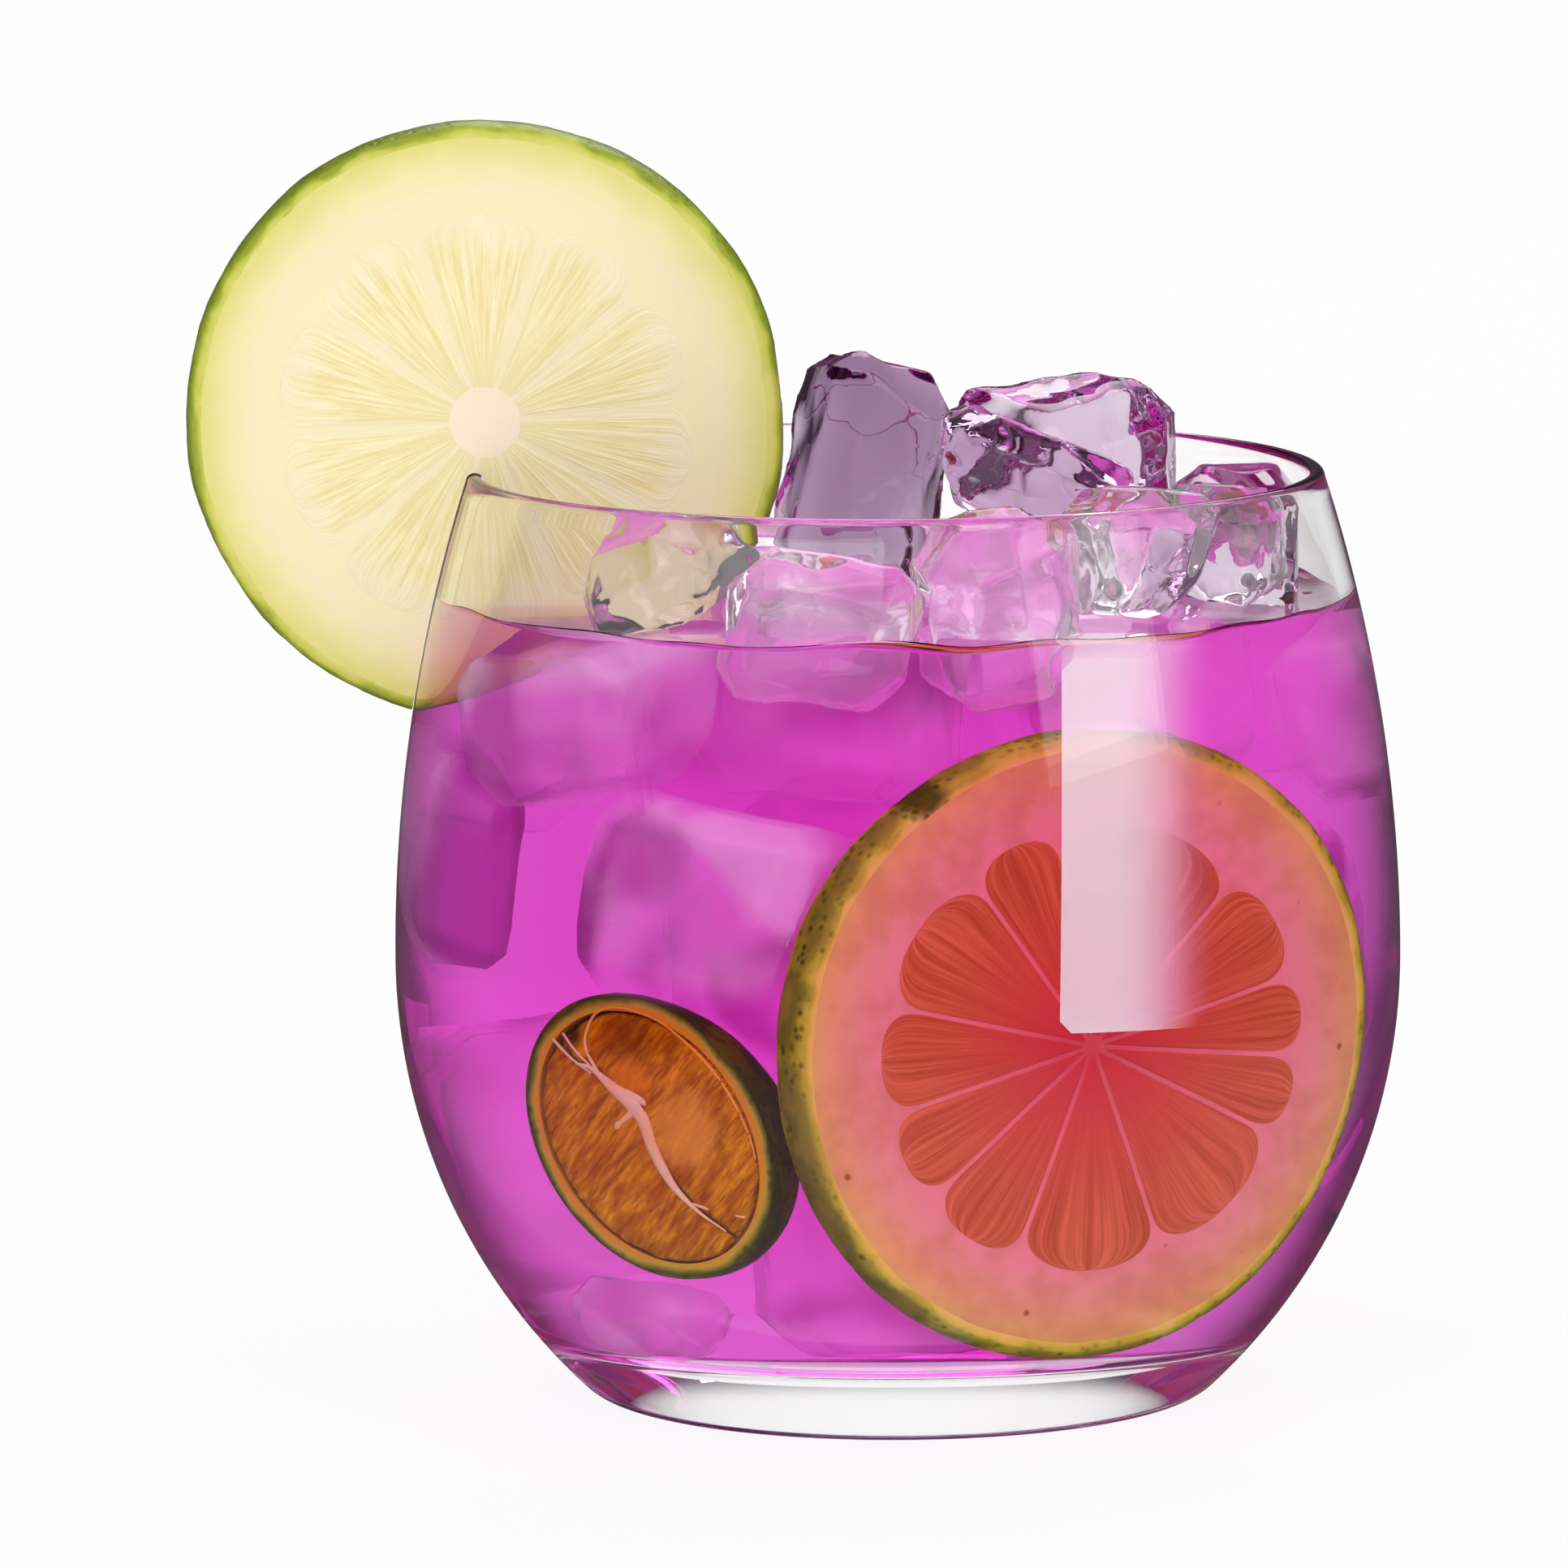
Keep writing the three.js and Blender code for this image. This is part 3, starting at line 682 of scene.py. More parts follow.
def peelMesh(wheel):
    steps, rows = wheelMake["peelSteps"], wheelMake["peelRows"]
    half, radius = wheel["thickness"] / 2, wheel["radius"]
    inner = radius - wheel["peel"]
    skin = inner + 0.6 * wheel["peel"]
    section = [(inner, -half), (inner + 0.5 * wheel["peel"], -half)]
    for i in range(rows + 1):
        up = math.sin(-math.pi / 2 + math.pi * i / rows)
        bulge = wheel["crown"] * (1 - abs(up) ** wheelMake["crownPower"])
        section.append((radius - wheel["crown"] + bulge - wheelMake["edgeRound"] * abs(up) ** 12, half * up))
    section += [(inner + 0.5 * wheel["peel"], half), (inner, half)]
    points = []
    for angle in turns(steps):
        share = outlineShare(wheel, angle)
        for radial, height in section:
            distance = radial * share
            x, y = distance * math.cos(angle), distance * math.sin(angle)
            face = faceHeight(wheel, x, y)
            if radial > skin:
                distance += wheelMake["poreLift"] * noise.noise(Vector((x, y, height)) / wheelMake["poreSize"])
            points.append((distance * math.cos(angle), distance * math.sin(angle), height / half * face))
    rings = ringsOf(steps, len(section))
    faces = flipped(ringFaces(rings + rings[:1], len(section)))
    return creased(meshOf("peel", inMetres(points), faces), 50)


def membraneAngles(wheel):
    angles = [math.radians(wheel["firstMembrane"])]
    for sweep in wheel["sweeps"]:
        angles.append(angles[-1] + 2 * math.pi * sweep / sum(wheel["sweeps"]))
    return angles


# a segment's radius at a share of its length, and half the angle that it fills there
def segmentReach(wheel, start, end, share, inset):
    offset = wheel["membrane"] / 2 + inset
    inner = max(wheel["core"] + inset, wheelMake["tipRoom"] * offset / math.sin((end - start) / 2))
    radius = inner + (wheel["pulpRadius"] - inset - inner) * share
    halfAngle = max((end - start) / 2 - math.asin(min(1, offset / radius)), 0)
    corner, power = wheel["corner"], wheelMake["cornerPower"]
    if share > 1 - corner:
        halfAngle *= max(1 - ((share - 1 + corner) / corner) ** power, 0) ** (1 / power)
    return radius, halfAngle


def segmentMesh(wheel, index, inset, thickness, relief):
    start, end = membraneAngles(wheel)[index:index + 2]
    rows, columns = wheelMake["rows"], wheelMake["columns"]
    grid = []
    for i in range(rows + 1):
        # rows lie closer together towards the outer end
        share = 0.4 * (0.5 - 0.5 * math.cos(math.pi * i / rows)) + 0.6 * (1 - (1 - i / rows) ** 2)
        radius, halfAngle = segmentReach(wheel, start, end, share, inset)
        for column in range(columns + 1):
            side = 2 * column / columns - 1
            angle = (start + end) / 2 + side * halfAngle
            scallop = outlineShare(wheel, angle)
            grid.append((radius * scallop * math.cos(angle), radius * scallop * math.sin(angle), side, share))
    points, coords, faces = [], [], []
    for way in (1, -1):
        for x, y, side, share in grid:
            edge = min(1 - abs(side), 3 * (1 - share), 3 * share + 0.05)
            pillow = relief * (1 - (1 - min(1, 2.5 * edge)) ** 2)
            height = faceHeight(wheel, x, y) - wheel["thickness"] / 2 + thickness / 2 + pillow
            points.append((x, y, way * height))
            coords.append((index + 0.02 + 0.96 * (side * 0.5 + 0.5), share))
    wide, layer = columns + 1, (rows + 1) * (columns + 1)
    for r in range(rows):
        for c in range(columns):
            a = r * wide + c
            faces.append((a, a + wide, a + wide + 1, a + 1))
            faces.append((layer + a, layer + a + 1, layer + a + wide + 1, layer + a + wide))
    for r in range(rows):
        a, b = r * wide, r * wide + columns
        faces.append((a, layer + a, layer + a + wide, a + wide))
        faces.append((b, b + wide, layer + b + wide, layer + b))
    for c in range(columns):
        a, b = c, rows * wide + c
        faces.append((a, a + 1, layer + a + 1, layer + a))
        faces.append((b, layer + b, layer + b + 1, b + 1))
    mesh = meshOf("segment", inMetres(points), faces)
    placeLayer = mesh.uv_layers.new(name="segmentPlace")
    for loop in mesh.loops:
        placeLayer.data[loop.index].uv = coords[loop.vertex_index]
    return creased(cleaned(mesh, wheelMake["join"] * mm), 50)


def pithMesh(wheel):
    steps, more = wheelMake["pithSteps"], wheelMake["pithRings"]
    radius = wheel["radius"] - wheel["peel"] + wheelMake["pithOverlap"]
    rings = [0.02, 0.06, 0.1] + [0.1 + 0.9 * i / more for i in range(1, more + 1)]
    points = []
    for way in (-1, 1):
        for ring in rings:
            for angle in turns(steps):
                distance = ring * radius * outlineShare(wheel, angle)
                x, y = distance * math.cos(angle), distance * math.sin(angle)
                points.append((x, y, way * faceHeight(wheel, x, y)))
    loops, count = ringsOf(2 * len(rings), steps), len(rings)
    back, front = (flipped(ringFaces(part, steps)) + [tuple(part[0])] for part in (loops[:count], loops[count:]))
    faces = [face[::-1] for face in back] + front + ringFaces([loops[count - 1], loops[-1]], steps)
    depth = wheel["thickness"] + wheelMake["socketDepth"]
    sockets = [segmentMesh(wheel, i, wheel["snug"], depth, 0) for i in range(len(wheel["sweeps"]))]
    return creased(cutBy(meshOf("pith", inMetres(points), faces), joinedMesh("sockets", sockets)), 40)


def citrusWheel(wheel, matrix, peelLook, pithLook, pulpLook, slit=None):
    pieces = [("peel", peelMesh(wheel), peelLook, "peel"), ("pith", pithMesh(wheel), pithLook, "pith")]
    for i in range(len(wheel["sweeps"])):
        segment = segmentMesh(wheel, i, 0, wheel["thickness"], wheel["pillow"])
        pieces.append((f"segment_{i + 1:02d}", segment, pulpLook, "pulp"))
    for name, mesh, look, slot in pieces:
        if slit:
            mesh = creased(cutBy(mesh, slit), 45)
        piece, node = f"{wheel['name']}_{name}", f"{wheel['node']}_{name}"
        addPiece(piece, mesh, look, wheel["body"], [node], matrix)


def flatPlace(place):
    x, y = axesOf(place)[:2]
    return addNode(place.id_data, "ShaderNodeCombineXYZ", {0: x, 1: y}).outputs[0]


# from the pale inside out to the green skin, with dots and perhaps one dark patch
def wheelPeel(name, look):
    material, tree, shader = newMaterial(name)
    place = keptPlace(tree)
    flat = flatPlace(place)
    pores = fillGroup(tree, peelPores, {"Place": place, "Density": look["density"]})
    radius, depth = look["radius"] * mm, look["depth"] * mm
    uneven = swing(pores["Blotch"], 0.35 * depth)
    distance = plus(between(flat, (0, 0, 0)), uneven)
    share = ranged(distance, radius - depth, radius)
    stops = [(0, look["inner"]), (0.45, look["zest"]), (0.8, look["skin"]), (1, look["skinDark"])]
    base = ramp(share, stops)
    outer = ranged(share, 0.55, 0.9)
    dots = times(math2("SUBTRACT", 1.0, pores["Pore"]), outer)
    base = mixed(times(dots, look["spotShare"]), base, look["spot"])
    blotches = times(times(pores["Blotch"], outer), 0.35)
    base = mixed(blotches, base, look["zest"])
    if "patch" in look:
        away = between(flat, [value * mm for value in look["patch"]])
        away = plus(away, times(pores["Pore"], 0.6 * mm))
        near, far = look["patchReach"]
        patch = ranged(away, near * mm, far * mm, look["patchShare"], 0.0)
        base = mixed(patch, base, look["patchColour"])
    setFruit(shader, base, times(pores["Pore"], outer), look)
    return material


# colours from the core to the peel, mottled, with a few specks on the sunk wheel
def wheelPith(name, look):
    material, tree, shader = newMaterial(name)
    place = keptPlace(tree)
    tissue = fillGroup(tree, softTissue, {"Place": place, "Scale": look["scale"]})
    uneven = swing(tissue["Mottle"], 1.2 * mm)
    distance = plus(between(flatPlace(place), (0, 0, 0)), uneven)
    base = ramp(math2("DIVIDE", distance, look["radius"] * mm), look["stops"])
    base = mixed(times(tissue["Mottle"], look["mottle"]), base, look["mottleColour"])
    if "specks" in look:
        specks = ranged(cellsAt(place, look["speckDensity"]), 0.04, 0.1, look["specks"], 0.0)
        base = mixed(specks, base, look["speckColour"])
    setFruit(shader, base, tissue["Height"], look)
    return material


# streaked flesh with a soft pale edge and another colour towards the core; on the sunk wheel the red core is
# partly painted light, the drink-coloured light that shines through the wheel
def wheelPulp(name, look):
    material, tree, shader = newMaterial(name)
    place = addNode(tree, "ShaderNodeUVMap", uv_map="segmentPlace").outputs[0]
    fibres = fillGroup(tree, pulpFibres, {"Place": place, "Across": look["across"], "Along": look["along"]})
    across, along = axesOf(place)[:2]
    side = math2("ABSOLUTE", math2("SUBTRACT", math2("FRACT", across), 0.5))
    jagged = swing(fibres["Streak"], 0.12)
    side = plus(side, times(jagged, 0.3))
    sideEdge = ranged(side, 0.5 - look["soft"] * 0.5, 0.49)
    endEdge = ranged(plus(along, jagged), 1 - look["soft"], 1.0)
    contrast = ranged(along, 0.2, 0.95, look["calm"], 1.0)
    streak = swing(fibres["Streak"], contrast)
    base = mixed(plus(streak, 0.5), look["deep"], look["pale"])
    heart = times(ranged(along, 0.75, 0.0), look["heart"])
    base = mixed(heart, base, look["heartColour"])
    edge = times(larger(sideEdge, endEdge), look["edgeShare"])
    base = mixed(edge, base, look["edge"])
    height = plus(fibres["Streak"], times(fibres["Sacs"], 0.6))
    setFruit(shader, base, height, look)
    return material


rimPeelLook = {
    "radius": 27, "depth": 2.2, "density": 1100, "spotShare": 0.7, "spot": linear(80, 104, 12),
    "inner": linear(218, 212, 116), "zest": linear(194, 196, 74), "skin": linear(128, 148, 18),
    "skinDark": linear(80, 102, 10),
    "relief": 0.6, "reliefDepth": 0.12, "roughness": 0.38, "refraction": 1.42,
}
rimPithLook = {
    "radius": 27, "scale": 900, "mottle": 0.2, "mottleColour": linear(244, 232, 198),
    "stops": [(0.0, linear(252, 230, 206)), (0.11, linear(250, 230, 202)), (0.16, linear(244, 230, 178)),
              (0.68, linear(243, 229, 184)), (0.76, linear(240, 227, 186)), (0.84, linear(235, 224, 164)),
              (0.93, linear(216, 212, 112))],
    "relief": 0.25, "reliefDepth": 0.1, "roughness": 0.5, "refraction": 1.38,
}
rimPulpLook = {
    "across": 15, "along": 1.6, "soft": 0.34, "calm": 1.0,
    "deep": linear(233, 213, 144), "pale": linear(251, 240, 200),
    "heart": 0.35, "heartColour": linear(246, 232, 180), "edge": linear(243, 231, 196), "edgeShare": 0.85,
    "relief": 0.35, "reliefDepth": 0.15, "roughness": 0.3, "refraction": 1.36,
}
sunkPeelLook = {
    "radius": 27, "depth": 2.6, "density": 1050, "spotShare": 1.0, "spot": linear(40, 58, 6),
    "inner": linear(254, 218, 126), "zest": linear(238, 214, 86), "skin": linear(184, 182, 50),
    "skinDark": linear(56, 80, 10),
    "patch": (-14.7, 22.4, 0), "patchReach": (1.6, 3.4), "patchShare": 0.9, "patchColour": linear(64, 66, 6),
    "relief": 0.6, "reliefDepth": 0.12, "roughness": 0.38, "refraction": 1.03,
}
# the sunk wheel's pink pith and red-coral pulp are partly its own colour and partly painted light: the
# drink-coloured light that shines through the wheel from behind
sunkPithLook = {
    "radius": 27, "scale": 900, "mottle": 0.6, "mottleColour": linear(222, 150, 110),
    "specks": 0.8, "speckDensity": 240, "speckColour": linear(160, 64, 36),
    "stops": [(0.0, linear(224, 100, 90)), (0.3, linear(250, 150, 134)), (0.68, linear(250, 176, 156)),
              (0.78, linear(244, 182, 144)), (0.88, linear(244, 192, 120)), (0.95, linear(240, 202, 100))],
    "relief": 0.25, "reliefDepth": 0.1, "roughness": 0.5, "refraction": 1.03,
}
sunkPulpLook = {
    "across": 13, "along": 0.8, "soft": 0.06, "calm": 0.15,
    "deep": linear(190, 94, 46), "pale": linear(238, 146, 82),
    "heart": 0.9, "heartColour": linear(226, 80, 74), "edge": linear(244, 150, 104), "edgeShare": 0.35,
    "relief": 0.35, "reliefDepth": 0.15, "roughness": 0.3, "refraction": 1.03,
}

lift = next(j for j in frame["joints"] if j["name"] == "garnish_lift")["axis"]
rimLow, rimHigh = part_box("rim_wheel_peel")
rimMatrix = placed((rimLow + rimHigh) / 2, (math.atan2(lift[0], lift[2]), "Y"), upright)
# the slit is as wide as the wall that it sits on
slitGap, slitLow = rimWheel["slitGap"], rimWheel["slitLow"]
slitProfile = [point for point in bodyPoints(outside, -slitGap, lipHeight) if point[1] > slitLow]
slitProfile += lipPoints(slitGap)
slitProfile += [point for point in bodyPoints(inside, slitGap, lipHeight) if point[1] > slitLow][::-1]
rimSlit = latheMesh("slit", slitProfile, glassLook["steps"], True)
rimSlit.transform(rimMatrix.inverted())
citrusWheel(
    rimWheel, rimMatrix, wheelPeel("rimPeel", rimPeelLook), wheelPith("rimPith", rimPithLook),
    wheelPulp("rimPulp", rimPulpLook), rimSlit,
)
print("rim wheel made")

sunkLow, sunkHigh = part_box("drink_wheel_peel")
sunkMatrix = placed((sunkLow + sunkHigh) / 2, (math.radians(sunkWheel["turn"]), "Z"), upright)
citrusWheel(
    sunkWheel, sunkMatrix, wheelPeel("sunkPeel", sunkPeelLook), wheelPith("sunkPith", sunkPithLook),
    wheelPulp("sunkPulp", sunkPulpLook),
)
print("sunk wheel made")


# half citrus

# places on the cut face are in mm, along the fruit and across it
halfFruit = {
    "length": 26.7, "width": 21.7, "depth": 12.5, "peel": 1.5, "turn": -38.42, "tilt": -41,
    "centre": (-20.162, -25.419, 28.161), "swell": 0.28, "hollow": 0.5, "slack": 0.1, "steps": 120, "rows": 26,
    "bumps": [(0.06, 0.8), (0.2, 6)],
    "strandLift": 0.1, "strandHeight": 0.28, "webTop": -1.4, "webSwell": 0.08,
}
# place along and across, and half the width
halfStrands = {
    "core": [(-9.1, -0.3, 0.1), (-7.8, 0.5, 0.2), (-5.4, 0.8, 0.5), (-3.3, 1.1, 0.72), (-1.5, 0.9, 0.66),
             (0.8, -0.3, 0.56), (3.1, -1.1, 0.46), (4.9, -1.4, 0.32), (7.5, -1.3, 0.17), (10.4, -0.7, 0.08)],
    "branch": [(-2.6, 0.6, 0.34), (-2.8, -0.6, 0.24), (-2.9, -1.2, 0.34), (-2.9, -1.55, 0.22),
               (-2.9, -1.7, 0.04)],
    "side": [(-4.4, 1.4, 0.2), (-2.6, 2.0, 0.36), (-0.8, 2.2, 0.1)],
    "loop": [(-6.5, 0.6, 0.2), (-9.2, 1.4, 0.13), (-10.2, 2.9, 0.13), (-10.3, 4.7, 0.1), (-8.9, 6.5, 0.08),
             (-5.8, 8.2, 0.08), (-2.5, 8.8, 0.12), (0.8, 8.9, 0.15), (4.2, 8.3, 0.13), (7.0, 7.2, 0.1),
             (8.6, 6.2, 0.06)],
    "thread": [(-7.5, 0.2, 0.1), (-9.8, -0.3, 0.13), (-12.0, -0.4, 0.16)],
    "secondThread": [(-8.0, 0.6, 0.1), (-10.0, 0.5, 0.12), (-11.6, 0.7, 0.12)],
    "lowThread": [(6.5, -1.2, 0.12), (9.0, 0.2, 0.14), (11.0, 1.6, 0.1)],
}
# the layer in which the pulp closes over the core, and how far across and along
halfClosing = {"layer": 2.5, "fade": 1.5, "across": 4.5, "along": 11.5, "soft": 3.5, "gap": 1.0}
# place, spread and share of the hollows in the cut face
halfPits = [((-11, 1.4), 1.6, 1), ((-6.5, 5), 8, 0.7)]
halfTurn, halfTilt = math.radians(halfFruit["turn"]), math.radians(halfFruit["tilt"])
halfMatrix = placed(Vector(halfFruit["centre"]) * mm, (halfTurn, "Z"), upright, (halfTilt, "Z"))
intoHalf = halfMatrix.inverted()


def bowlMesh(fruit):
    steps, rows = fruit["steps"], fruit["rows"]
    a, b, c = fruit["length"] / 2, fruit["width"] / 2, fruit["depth"]
    points, rings = [], []
    for thin, order in ((0, range(rows + 1)), (fruit["peel"], range(rows, -1, -1))):
        for k in order:
            fall = k / rows * math.pi / 2
            first = len(points)
            for angle in turns(steps)[:steps if k < rows else 1]:
                x = (a - thin) * math.cos(fall) * math.cos(angle)
                y = (b - thin) * math.cos(fall) * math.sin(angle)
                z = -(c - thin) * math.sin(fall)
                bump = 0
                if not thin and k:
                    bump = sum(height * noise.noise(Vector((x, y, z)) / size) for height, size in fruit["bumps"])
                scale = 1 + (bump - fruit["slack"] * (not thin)) / a
                points.append((x * scale, y * scale, z * scale))
            rings.append(list(range(first, len(points))))
    faces = flipped(ringFaces(rings + rings[:1], steps))
    return creased(cleaned(meshOf("bowl", inMetres(points), faces)), 55)


def roundedNode(node, voxel, smooth, swell):
    mesh = nodes[node].data.copy()
    mesh.transform(intoHalf)
    mesh = meltedMesh(mesh, voxel, smooth)
    moveTo(mesh, coordinates(mesh) + vertexNormals(mesh) * swell * mm)
    mesh.shade_smooth()
    return mesh


# a curve through the points, eight steps from each to the next
def smoothPath(points):
    path = np.array([points[0]] + points + [points[-1]], dtype=float)
    found = []
    for before, start, end, after in zip(path, path[1:], path[2:], path[3:]):
        for t in np.arange(8) / 8:
            bend = 2 * before - 5 * start + 4 * end - after + t * (3 * (start - end) + after - before)
            found.append(start + 0.5 * t * (end - before + t * bend))
    return np.array(found + [path[-1]])


# a pale strand that lies half sunk in the cut face
def strandMesh(points):
    path, sides = smoothPath(points), 8
    along = np.gradient(path[:, :2], axis=0)
    along /= np.linalg.norm(along, axis=1)[:, None]
    spots = []
    for (x, y, size), (ax, ay) in zip(path, along):
        for angle in turns(sides):
            out = size * math.cos(angle)
            up = min(0.5 * size, halfFruit["strandHeight"]) * math.sin(angle)
            spots.append((x - ay * out, y + ax * out, up + halfFruit["strandLift"]))
    rings = ringsOf(len(path), sides)
    faces = ringFaces(rings, sides) + [tuple(rings[0])[::-1], tuple(rings[-1])]
    return meshOf("strand", inMetres(spots), faces)


corePath = smoothPath(halfStrands["core"])


# pulp that closes over the core up to its crooked line, with shallow hollows in the cut face
def closedPulp(mesh):
    layer, fade, across, along, soft, gap = halfClosing.values()
    points = coordinates(mesh) / mm
    for point in points:
        x, y, z = point
        if z < -layer:
            continue
        near = min(1, (z + layer) / fade)
        if abs(y) < across and abs(x) < along:
            side = 1 if y > 0 else -1
            line = np.interp(x, corePath[:, 0], corePath[:, 1])
            pull = near * min(1, (across - abs(y)) / soft)
            point[1] += pull * (line - side * gap)
        spot = Vector((x, point[1], 0))
        rough = 0.5 * noise.noise(spot / 2.6) + 0.3 * noise.noise(spot / 1.1)
        pit = sum(
            share * math.exp(-((x - pitX) ** 2 + (point[1] - pitY) ** 2) / spread)
            for (pitX, pitY), spread, share in halfPits
        )
        point[2] += near * halfFruit["hollow"] * (0.5 * rough - 0.12 - pit)
    moveTo(mesh, points * mm)
    return mesh


# the webs end under the cut face
def sunkWeb(mesh):
    points = coordinates(mesh)
    points[:, 2] = np.minimum(points[:, 2], halfFruit["webTop"] * mm)
    moveTo(mesh, points)
    return mesh


halfSkinLook = {
    "density": 1000, "skin": linear(58, 66, 16), "skinPale": linear(104, 104, 26), "dot": linear(30, 40, 8),
    "stops": [(0, linear(232, 176, 40)), (0.35, linear(208, 196, 60)), (0.7, linear(140, 150, 40)),
              (1, linear(40, 56, 10))],
    "cutDot": linear(52, 66, 16), "relief": 0.6, "reliefDepth": 0.12, "roughness": 0.35, "refraction": 1.03,
}
halfPulpLook = {
    "across": 1.5, "along": 0.3, "deep": linear(164, 88, 0), "pale": linear(255, 200, 10),
    "cloud": linear(168, 92, 0), "cloudSize": 0.35, "sac": linear(176, 84, 0),
    "relief": 0.5, "reliefDepth": 0.3, "roughness": 0.22, "refraction": 1.03,
    # place on the cut face, reach, share and colour; the first is a painted glint, the second and third are
    # painted shade in the hollows of the cut face, the fourth a brighter orange of the pulp's own
    "patches": [
        ((2.2, 3.2, 0), 4.5, 0.7, linear(255, 204, 64)), ((-6.8, 5.2, 0), 3.6, 0.55, linear(112, 52, 0)),
        ((-11.2, 1.2, 0), 1.7, 0.9, linear(60, 34, 4)), ((-4.5, 2.6, 0), 2.4, 0.7, linear(244, 164, 10)),
    ],
}
halfWebLook = {
    "scale": 900, "deep": linear(255, 232, 140), "pale": linear(255, 250, 176), "outer": linear(255, 206, 60),
    "outerFrom": 2, "outerTo": 5, "relief": 0.3, "reliefDepth": 0.1, "roughness": 0.4, "refraction": 1.03,
}


# how far out a point lies, from 0 at the middle to 1 at the skin, tells cut peel from skin
def halfSkin(look):
    material, tree, shader = newMaterial("halfSkin")
    place = keptPlace(tree)
    pores = fillGroup(tree, peelPores, {"Place": place, "Density": look["density"]})
    sizes = (halfFruit["length"] / 2, halfFruit["width"] / 2, halfFruit["depth"])
    scaled = [math2("DIVIDE", axis, size * mm) for axis, size in zip(axesOf(place), sizes)]
    xx, yy, zz = (times(value, value) for value in scaled)
    share = math2("SQRT", plus(plus(xx, yy), zz))
    share = plus(share, swing(pores["Blotch"], 0.035))
    dots = math2("SUBTRACT", 1.0, pores["Pore"])
    skin = mixed(pores["Blotch"], look["skin"], look["skinPale"])
    skin = mixed(times(dots, 0.5), skin, look["dot"])
    cut = ramp(ranged(share, 0.87, 0.99), look["stops"])
    cutDots = times(dots, ranged(share, 0.9, 0.97, 0.0, 0.8))
    cut = mixed(cutDots, cut, look["cutDot"])
    base = mixed(ranged(share, 0.965, 0.985), cut, skin)
    setFruit(shader, base, pores["Pore"], look)
    return material


def halfPulp(look):
    material, tree, shader = newMaterial("halfPulp")
    inputs = {0: keptPlace(tree), 1: (1 / mm, 1 / mm, 1 / mm)}
    place = addNode(tree, "ShaderNodeVectorMath", inputs, operation="MULTIPLY").outputs[0]
    fibres = fillGroup(tree, pulpFibres, {"Place": place, "Across": look["across"], "Along": look["along"]})
    clouds = noiseAt(place, look["cloudSize"], 3)
    base = mixed(fibres["Streak"], look["deep"], look["pale"])
    base = mixed(ranged(clouds, 0.45, 0.7, 0.0, 0.6), base, look["cloud"])
    base = mixed(ranged(fibres["Sacs"], 0.3, 0.75, 0.0, 0.5), base, look["sac"])
    # patches of painted glint and of painted shade in the hollows, and one of brighter orange pulp
    for spot, reach, share, colour in look["patches"]:
        away = plus(between(place, spot), swing(clouds, reach))
        base = mixed(ranged(away, 0.3 * reach, reach, share, 0.0), base, colour)
    setFruit(shader, base, plus(fibres["Streak"], fibres["Sacs"]), look)
    return material


def halfWeb(look):
    material, tree, shader = newMaterial("halfWeb")
    place = keptPlace(tree)
    tissue = fillGroup(tree, softTissue, {"Place": place, "Scale": look["scale"]})
    base = mixed(tissue["Mottle"], look["deep"], look["pale"])
    across = math2("ABSOLUTE", axesOf(place)[1])
    outer = ranged(across, look["outerFrom"] * mm, look["outerTo"] * mm)
    base = mixed(outer, base, look["outer"])
    setFruit(shader, base, tissue["Height"], look)
    return material


mesh, look = bowlMesh(halfFruit), halfSkin(halfSkinLook)
addPiece("half_fruit_skin", mesh, look, "glass", ["half_citrus_peel"], halfMatrix)
look = halfPulp(halfPulpLook)
for i in range(1, 5):
    node = f"half_citrus_segment_{i}"
    mesh = closedPulp(roundedNode(node, 0.35, 4, halfFruit["swell"]))
    addPiece(f"half_fruit_pulp_{i}", mesh, look, "glass", [node], halfMatrix)
node = "half_citrus_membrane"
strands = [strandMesh(points) for points in halfStrands.values()]
webMesh = joinedMesh("web", [sunkWeb(roundedNode(node, 0.2, 2, halfFruit["webSwell"])), *strands])
addPiece("half_fruit_web", webMesh, halfWeb(halfWebLook), "glass", [node], halfMatrix)
print("half citrus made")


# floor, light and camera

stageLook = {
    "floorSize": 6.0, "floorDrop": 0.0002, "floorGlow": 0.86, "floorColour": (0.9, 0.9, 0.9, 1),
    "dayLight": 0.6, "topDim": 0.12, "sideDim": 0.18, "mirrorDim": 0.06, "nearFloor": 0.06, "farFloor": 0.2,
}


# a white sheet behind, and less to the sides and in front, so that a clear edge has a dark line
def whiteSheet(place):
    x, y, z = axesOf(place)
    total = plus(plus(times(x, x), times(y, y)), 1e-6)
    behind = math2("DIVIDE", y, math2("SQRT", total))
    return ranged(behind, 0.58, 0.93, stageLook["sideDim"], 1.0), total, z


# 1 for a ray that comes straight or through a clear piece, less for one off its surface, 0 for other light
def seenDirectly(tree):
    path = addNode(tree, "ShaderNodeLightPath").outputs
    straight = larger(path["Is Camera Ray"], path["Is Transmission Ray"])
    mirrored = mixedValue(straight, stageLook["mirrorDim"], 1.0)
    return larger(straight, path["Is Glossy Ray"]), path["Is Camera Ray"], mirrored


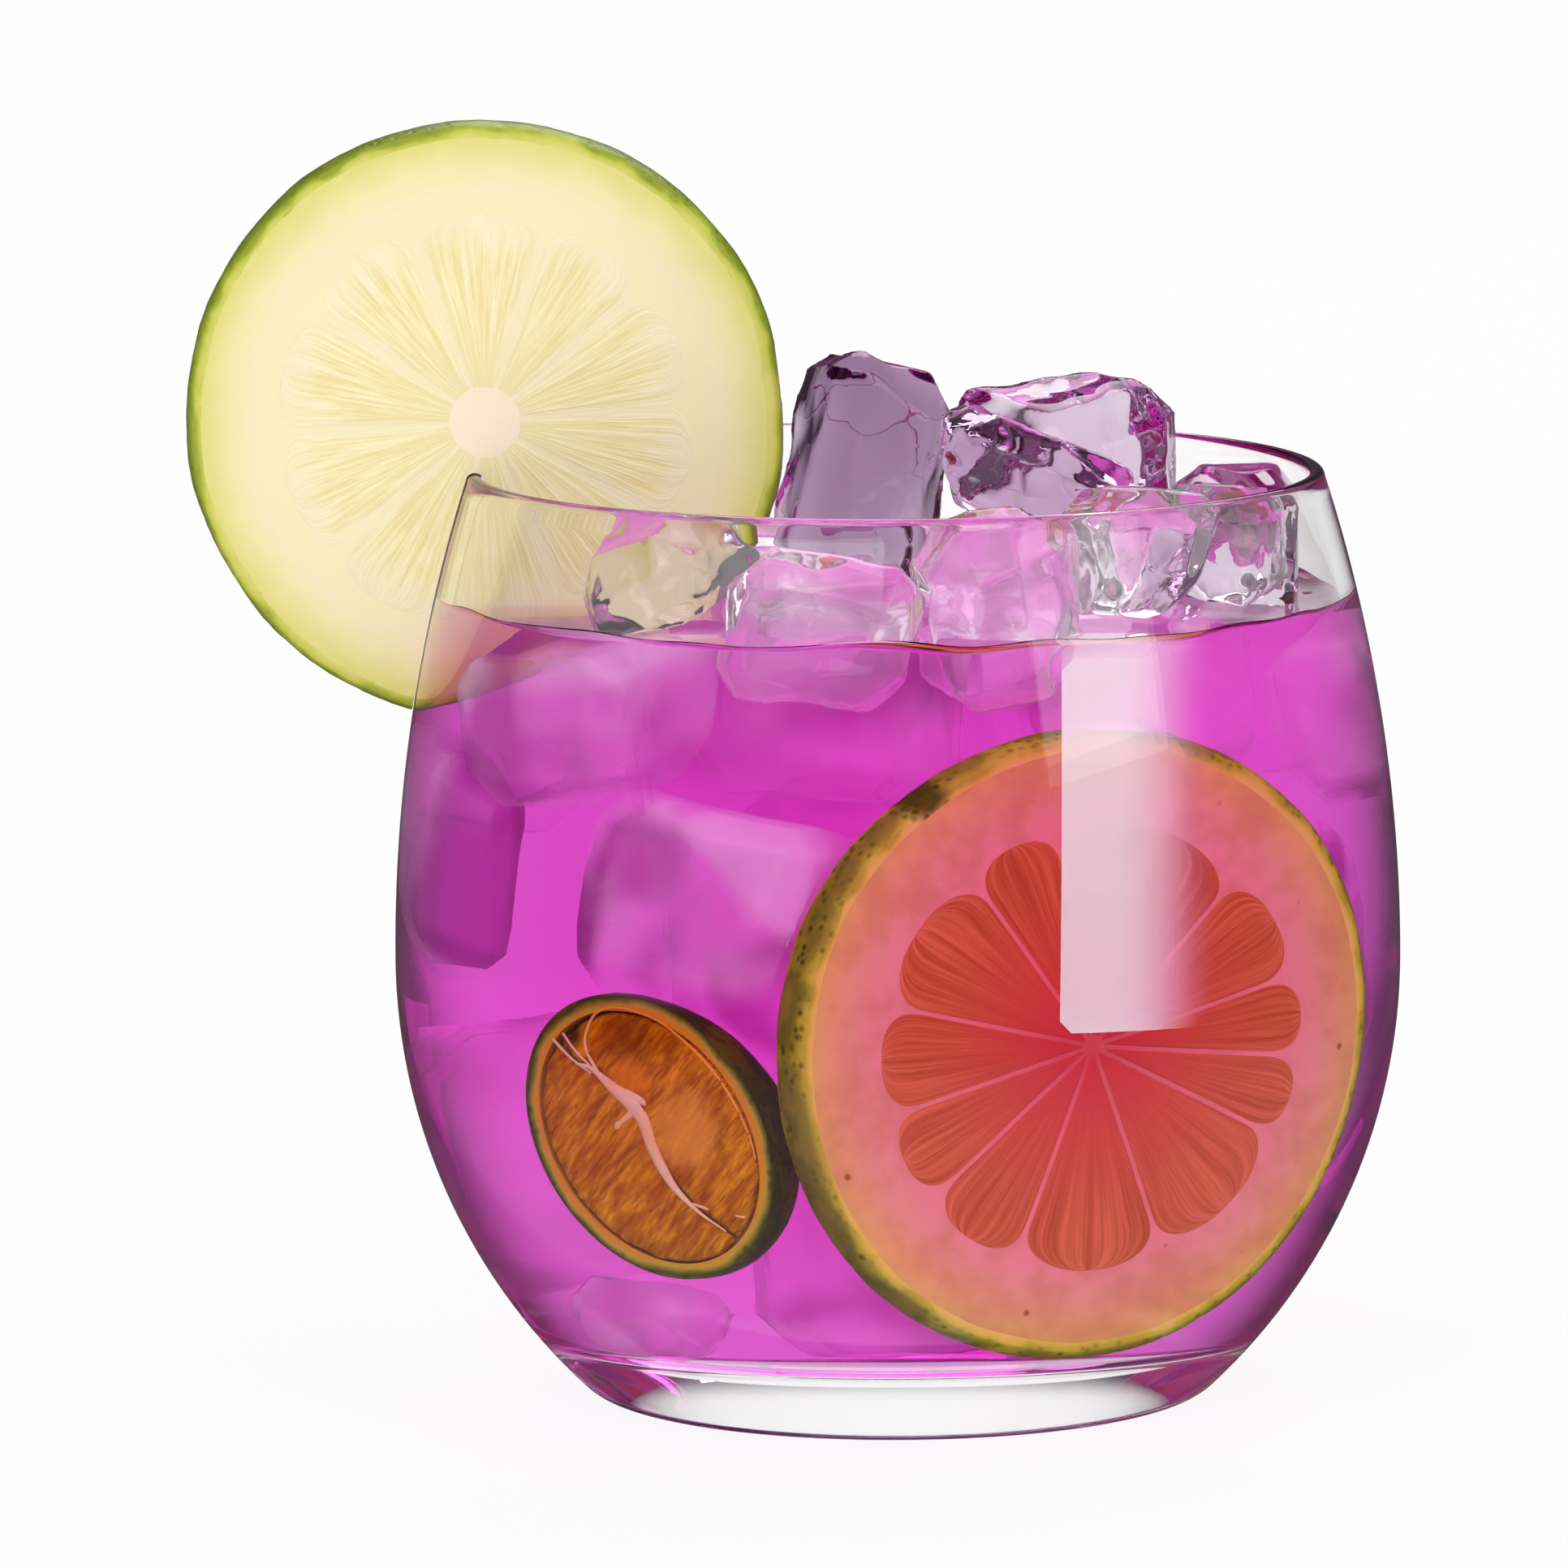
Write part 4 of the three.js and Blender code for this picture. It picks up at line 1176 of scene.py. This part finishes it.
half = stageLook["floorSize"] / 2
corners = [(-half, -half, 0), (half, -half, 0), (half, half, 0), (-half, half, 0)]
floorMesh = meshOf("floor", corners, [(0, 1, 2, 3)])
floor = addObject("floor", floorMesh)
floor.location.z = -stageLook["floorDrop"]
paleFloor = bpy.data.materials.new("paleFloor")
paleFloor.use_nodes = True
tree = paleFloor.node_tree
tree.nodes.clear()
seen, fromCamera, mirrored = seenDirectly(tree)
sheet, squared = whiteSheet(objectPlace(tree))[:2]
far = ranged(squared, stageLook["nearFloor"] ** 2, stageLook["farFloor"] ** 2)
cards = larger(times(mixedValue(far, 1.0, sheet), mirrored), fromCamera)
matte = addNode(tree, "ShaderNodeBsdfDiffuse", {"Color": stageLook["floorColour"]})
glow = addNode(tree, "ShaderNodeEmission", {"Color": (1, 1, 1, 1), "Strength": cards})
share = math2("SUBTRACT", seen, times(fromCamera, 1 - stageLook["floorGlow"]))
blend = addNode(tree, "ShaderNodeMixShader", {0: share, 1: matte.outputs[0], 2: glow.outputs[0]})
addNode(tree, "ShaderNodeOutputMaterial", {"Surface": blend.outputs[0]})
floorMesh.materials.append(paleFloor)

world = bpy.data.worlds.new("studio")
scene.world = world
world.use_nodes = True
tree = world.node_tree
tree.nodes.clear()
seen, fromCamera, mirrored = seenDirectly(tree)
sheet, height = whiteSheet(addNode(tree, "ShaderNodeTexCoord").outputs["Generated"])[::2]
overhead = ranged(height, 0.2, 0.6, 1.0, stageLook["topDim"])
pattern = larger(times(times(overhead, sheet), mirrored), fromCamera)
strength = mixedValue(seen, stageLook["dayLight"], pattern)
sky = addNode(tree, "ShaderNodeBackground", {"Color": (1, 1, 1, 1), "Strength": strength})
addNode(tree, "ShaderNodeOutputWorld", {"Surface": sky.outputs[0]})

# name, place, size and power
lamps = [
    ("key", (-0.45, -1.25, 1.1), 0.9, 9.9), ("fill", (1.1, -0.9, 0.7), 0.9, 7.2),
    ("back", (0.2, 1.2, 1.2), 1.0, 8),
]
lampAim = Vector((0, 0, 0.05))
for name, place, size, power in lamps:
    data = bpy.data.lights.new(name, "AREA")
    data.shape = "SQUARE"
    data.size = size
    data.energy = power
    lamp = addObject(name, data)
    lamp.location = place
    lamp.rotation_euler = (lampAim - Vector(place)).to_track_quat("-Z", "Y").to_euler()

photoView = {"distance": 1.2675, "elevation": 7.94, "target": (-10.1, 0, 54.86), "lens": 325.3, "roll": -0.34}
cameraData = bpy.data.cameras.new("photoCamera")
cameraData.lens = photoView["lens"]
cameraData.sensor_width = 36
cameraData.clip_start, cameraData.clip_end = 0.05, 50
camera = addObject("photoCamera", cameraData)
rise = math.radians(photoView["elevation"])
back = Vector((0, -math.cos(rise), math.sin(rise)))
camera.matrix_world = (
    Matrix.Translation(Vector(photoView["target"]) * mm + back * photoView["distance"])
    @ (-back).to_track_quat("-Z", "Y").to_matrix().to_4x4()
    @ Matrix.Rotation(math.radians(photoView["roll"]), 4, "Z")
)
scene.camera = camera

scene.view_settings.view_transform = "Standard"
renderLook = {
    "max_bounces": 64, "transmission_bounces": 64, "glossy_bounces": 24, "diffuse_bounces": 3,
    "transparent_max_bounces": 64, "caustics_reflective": False, "sample_clamp_indirect": 4,
}
for name, value in renderLook.items():
    setattr(scene.cycles, name, value)
print("stage, light and camera made")
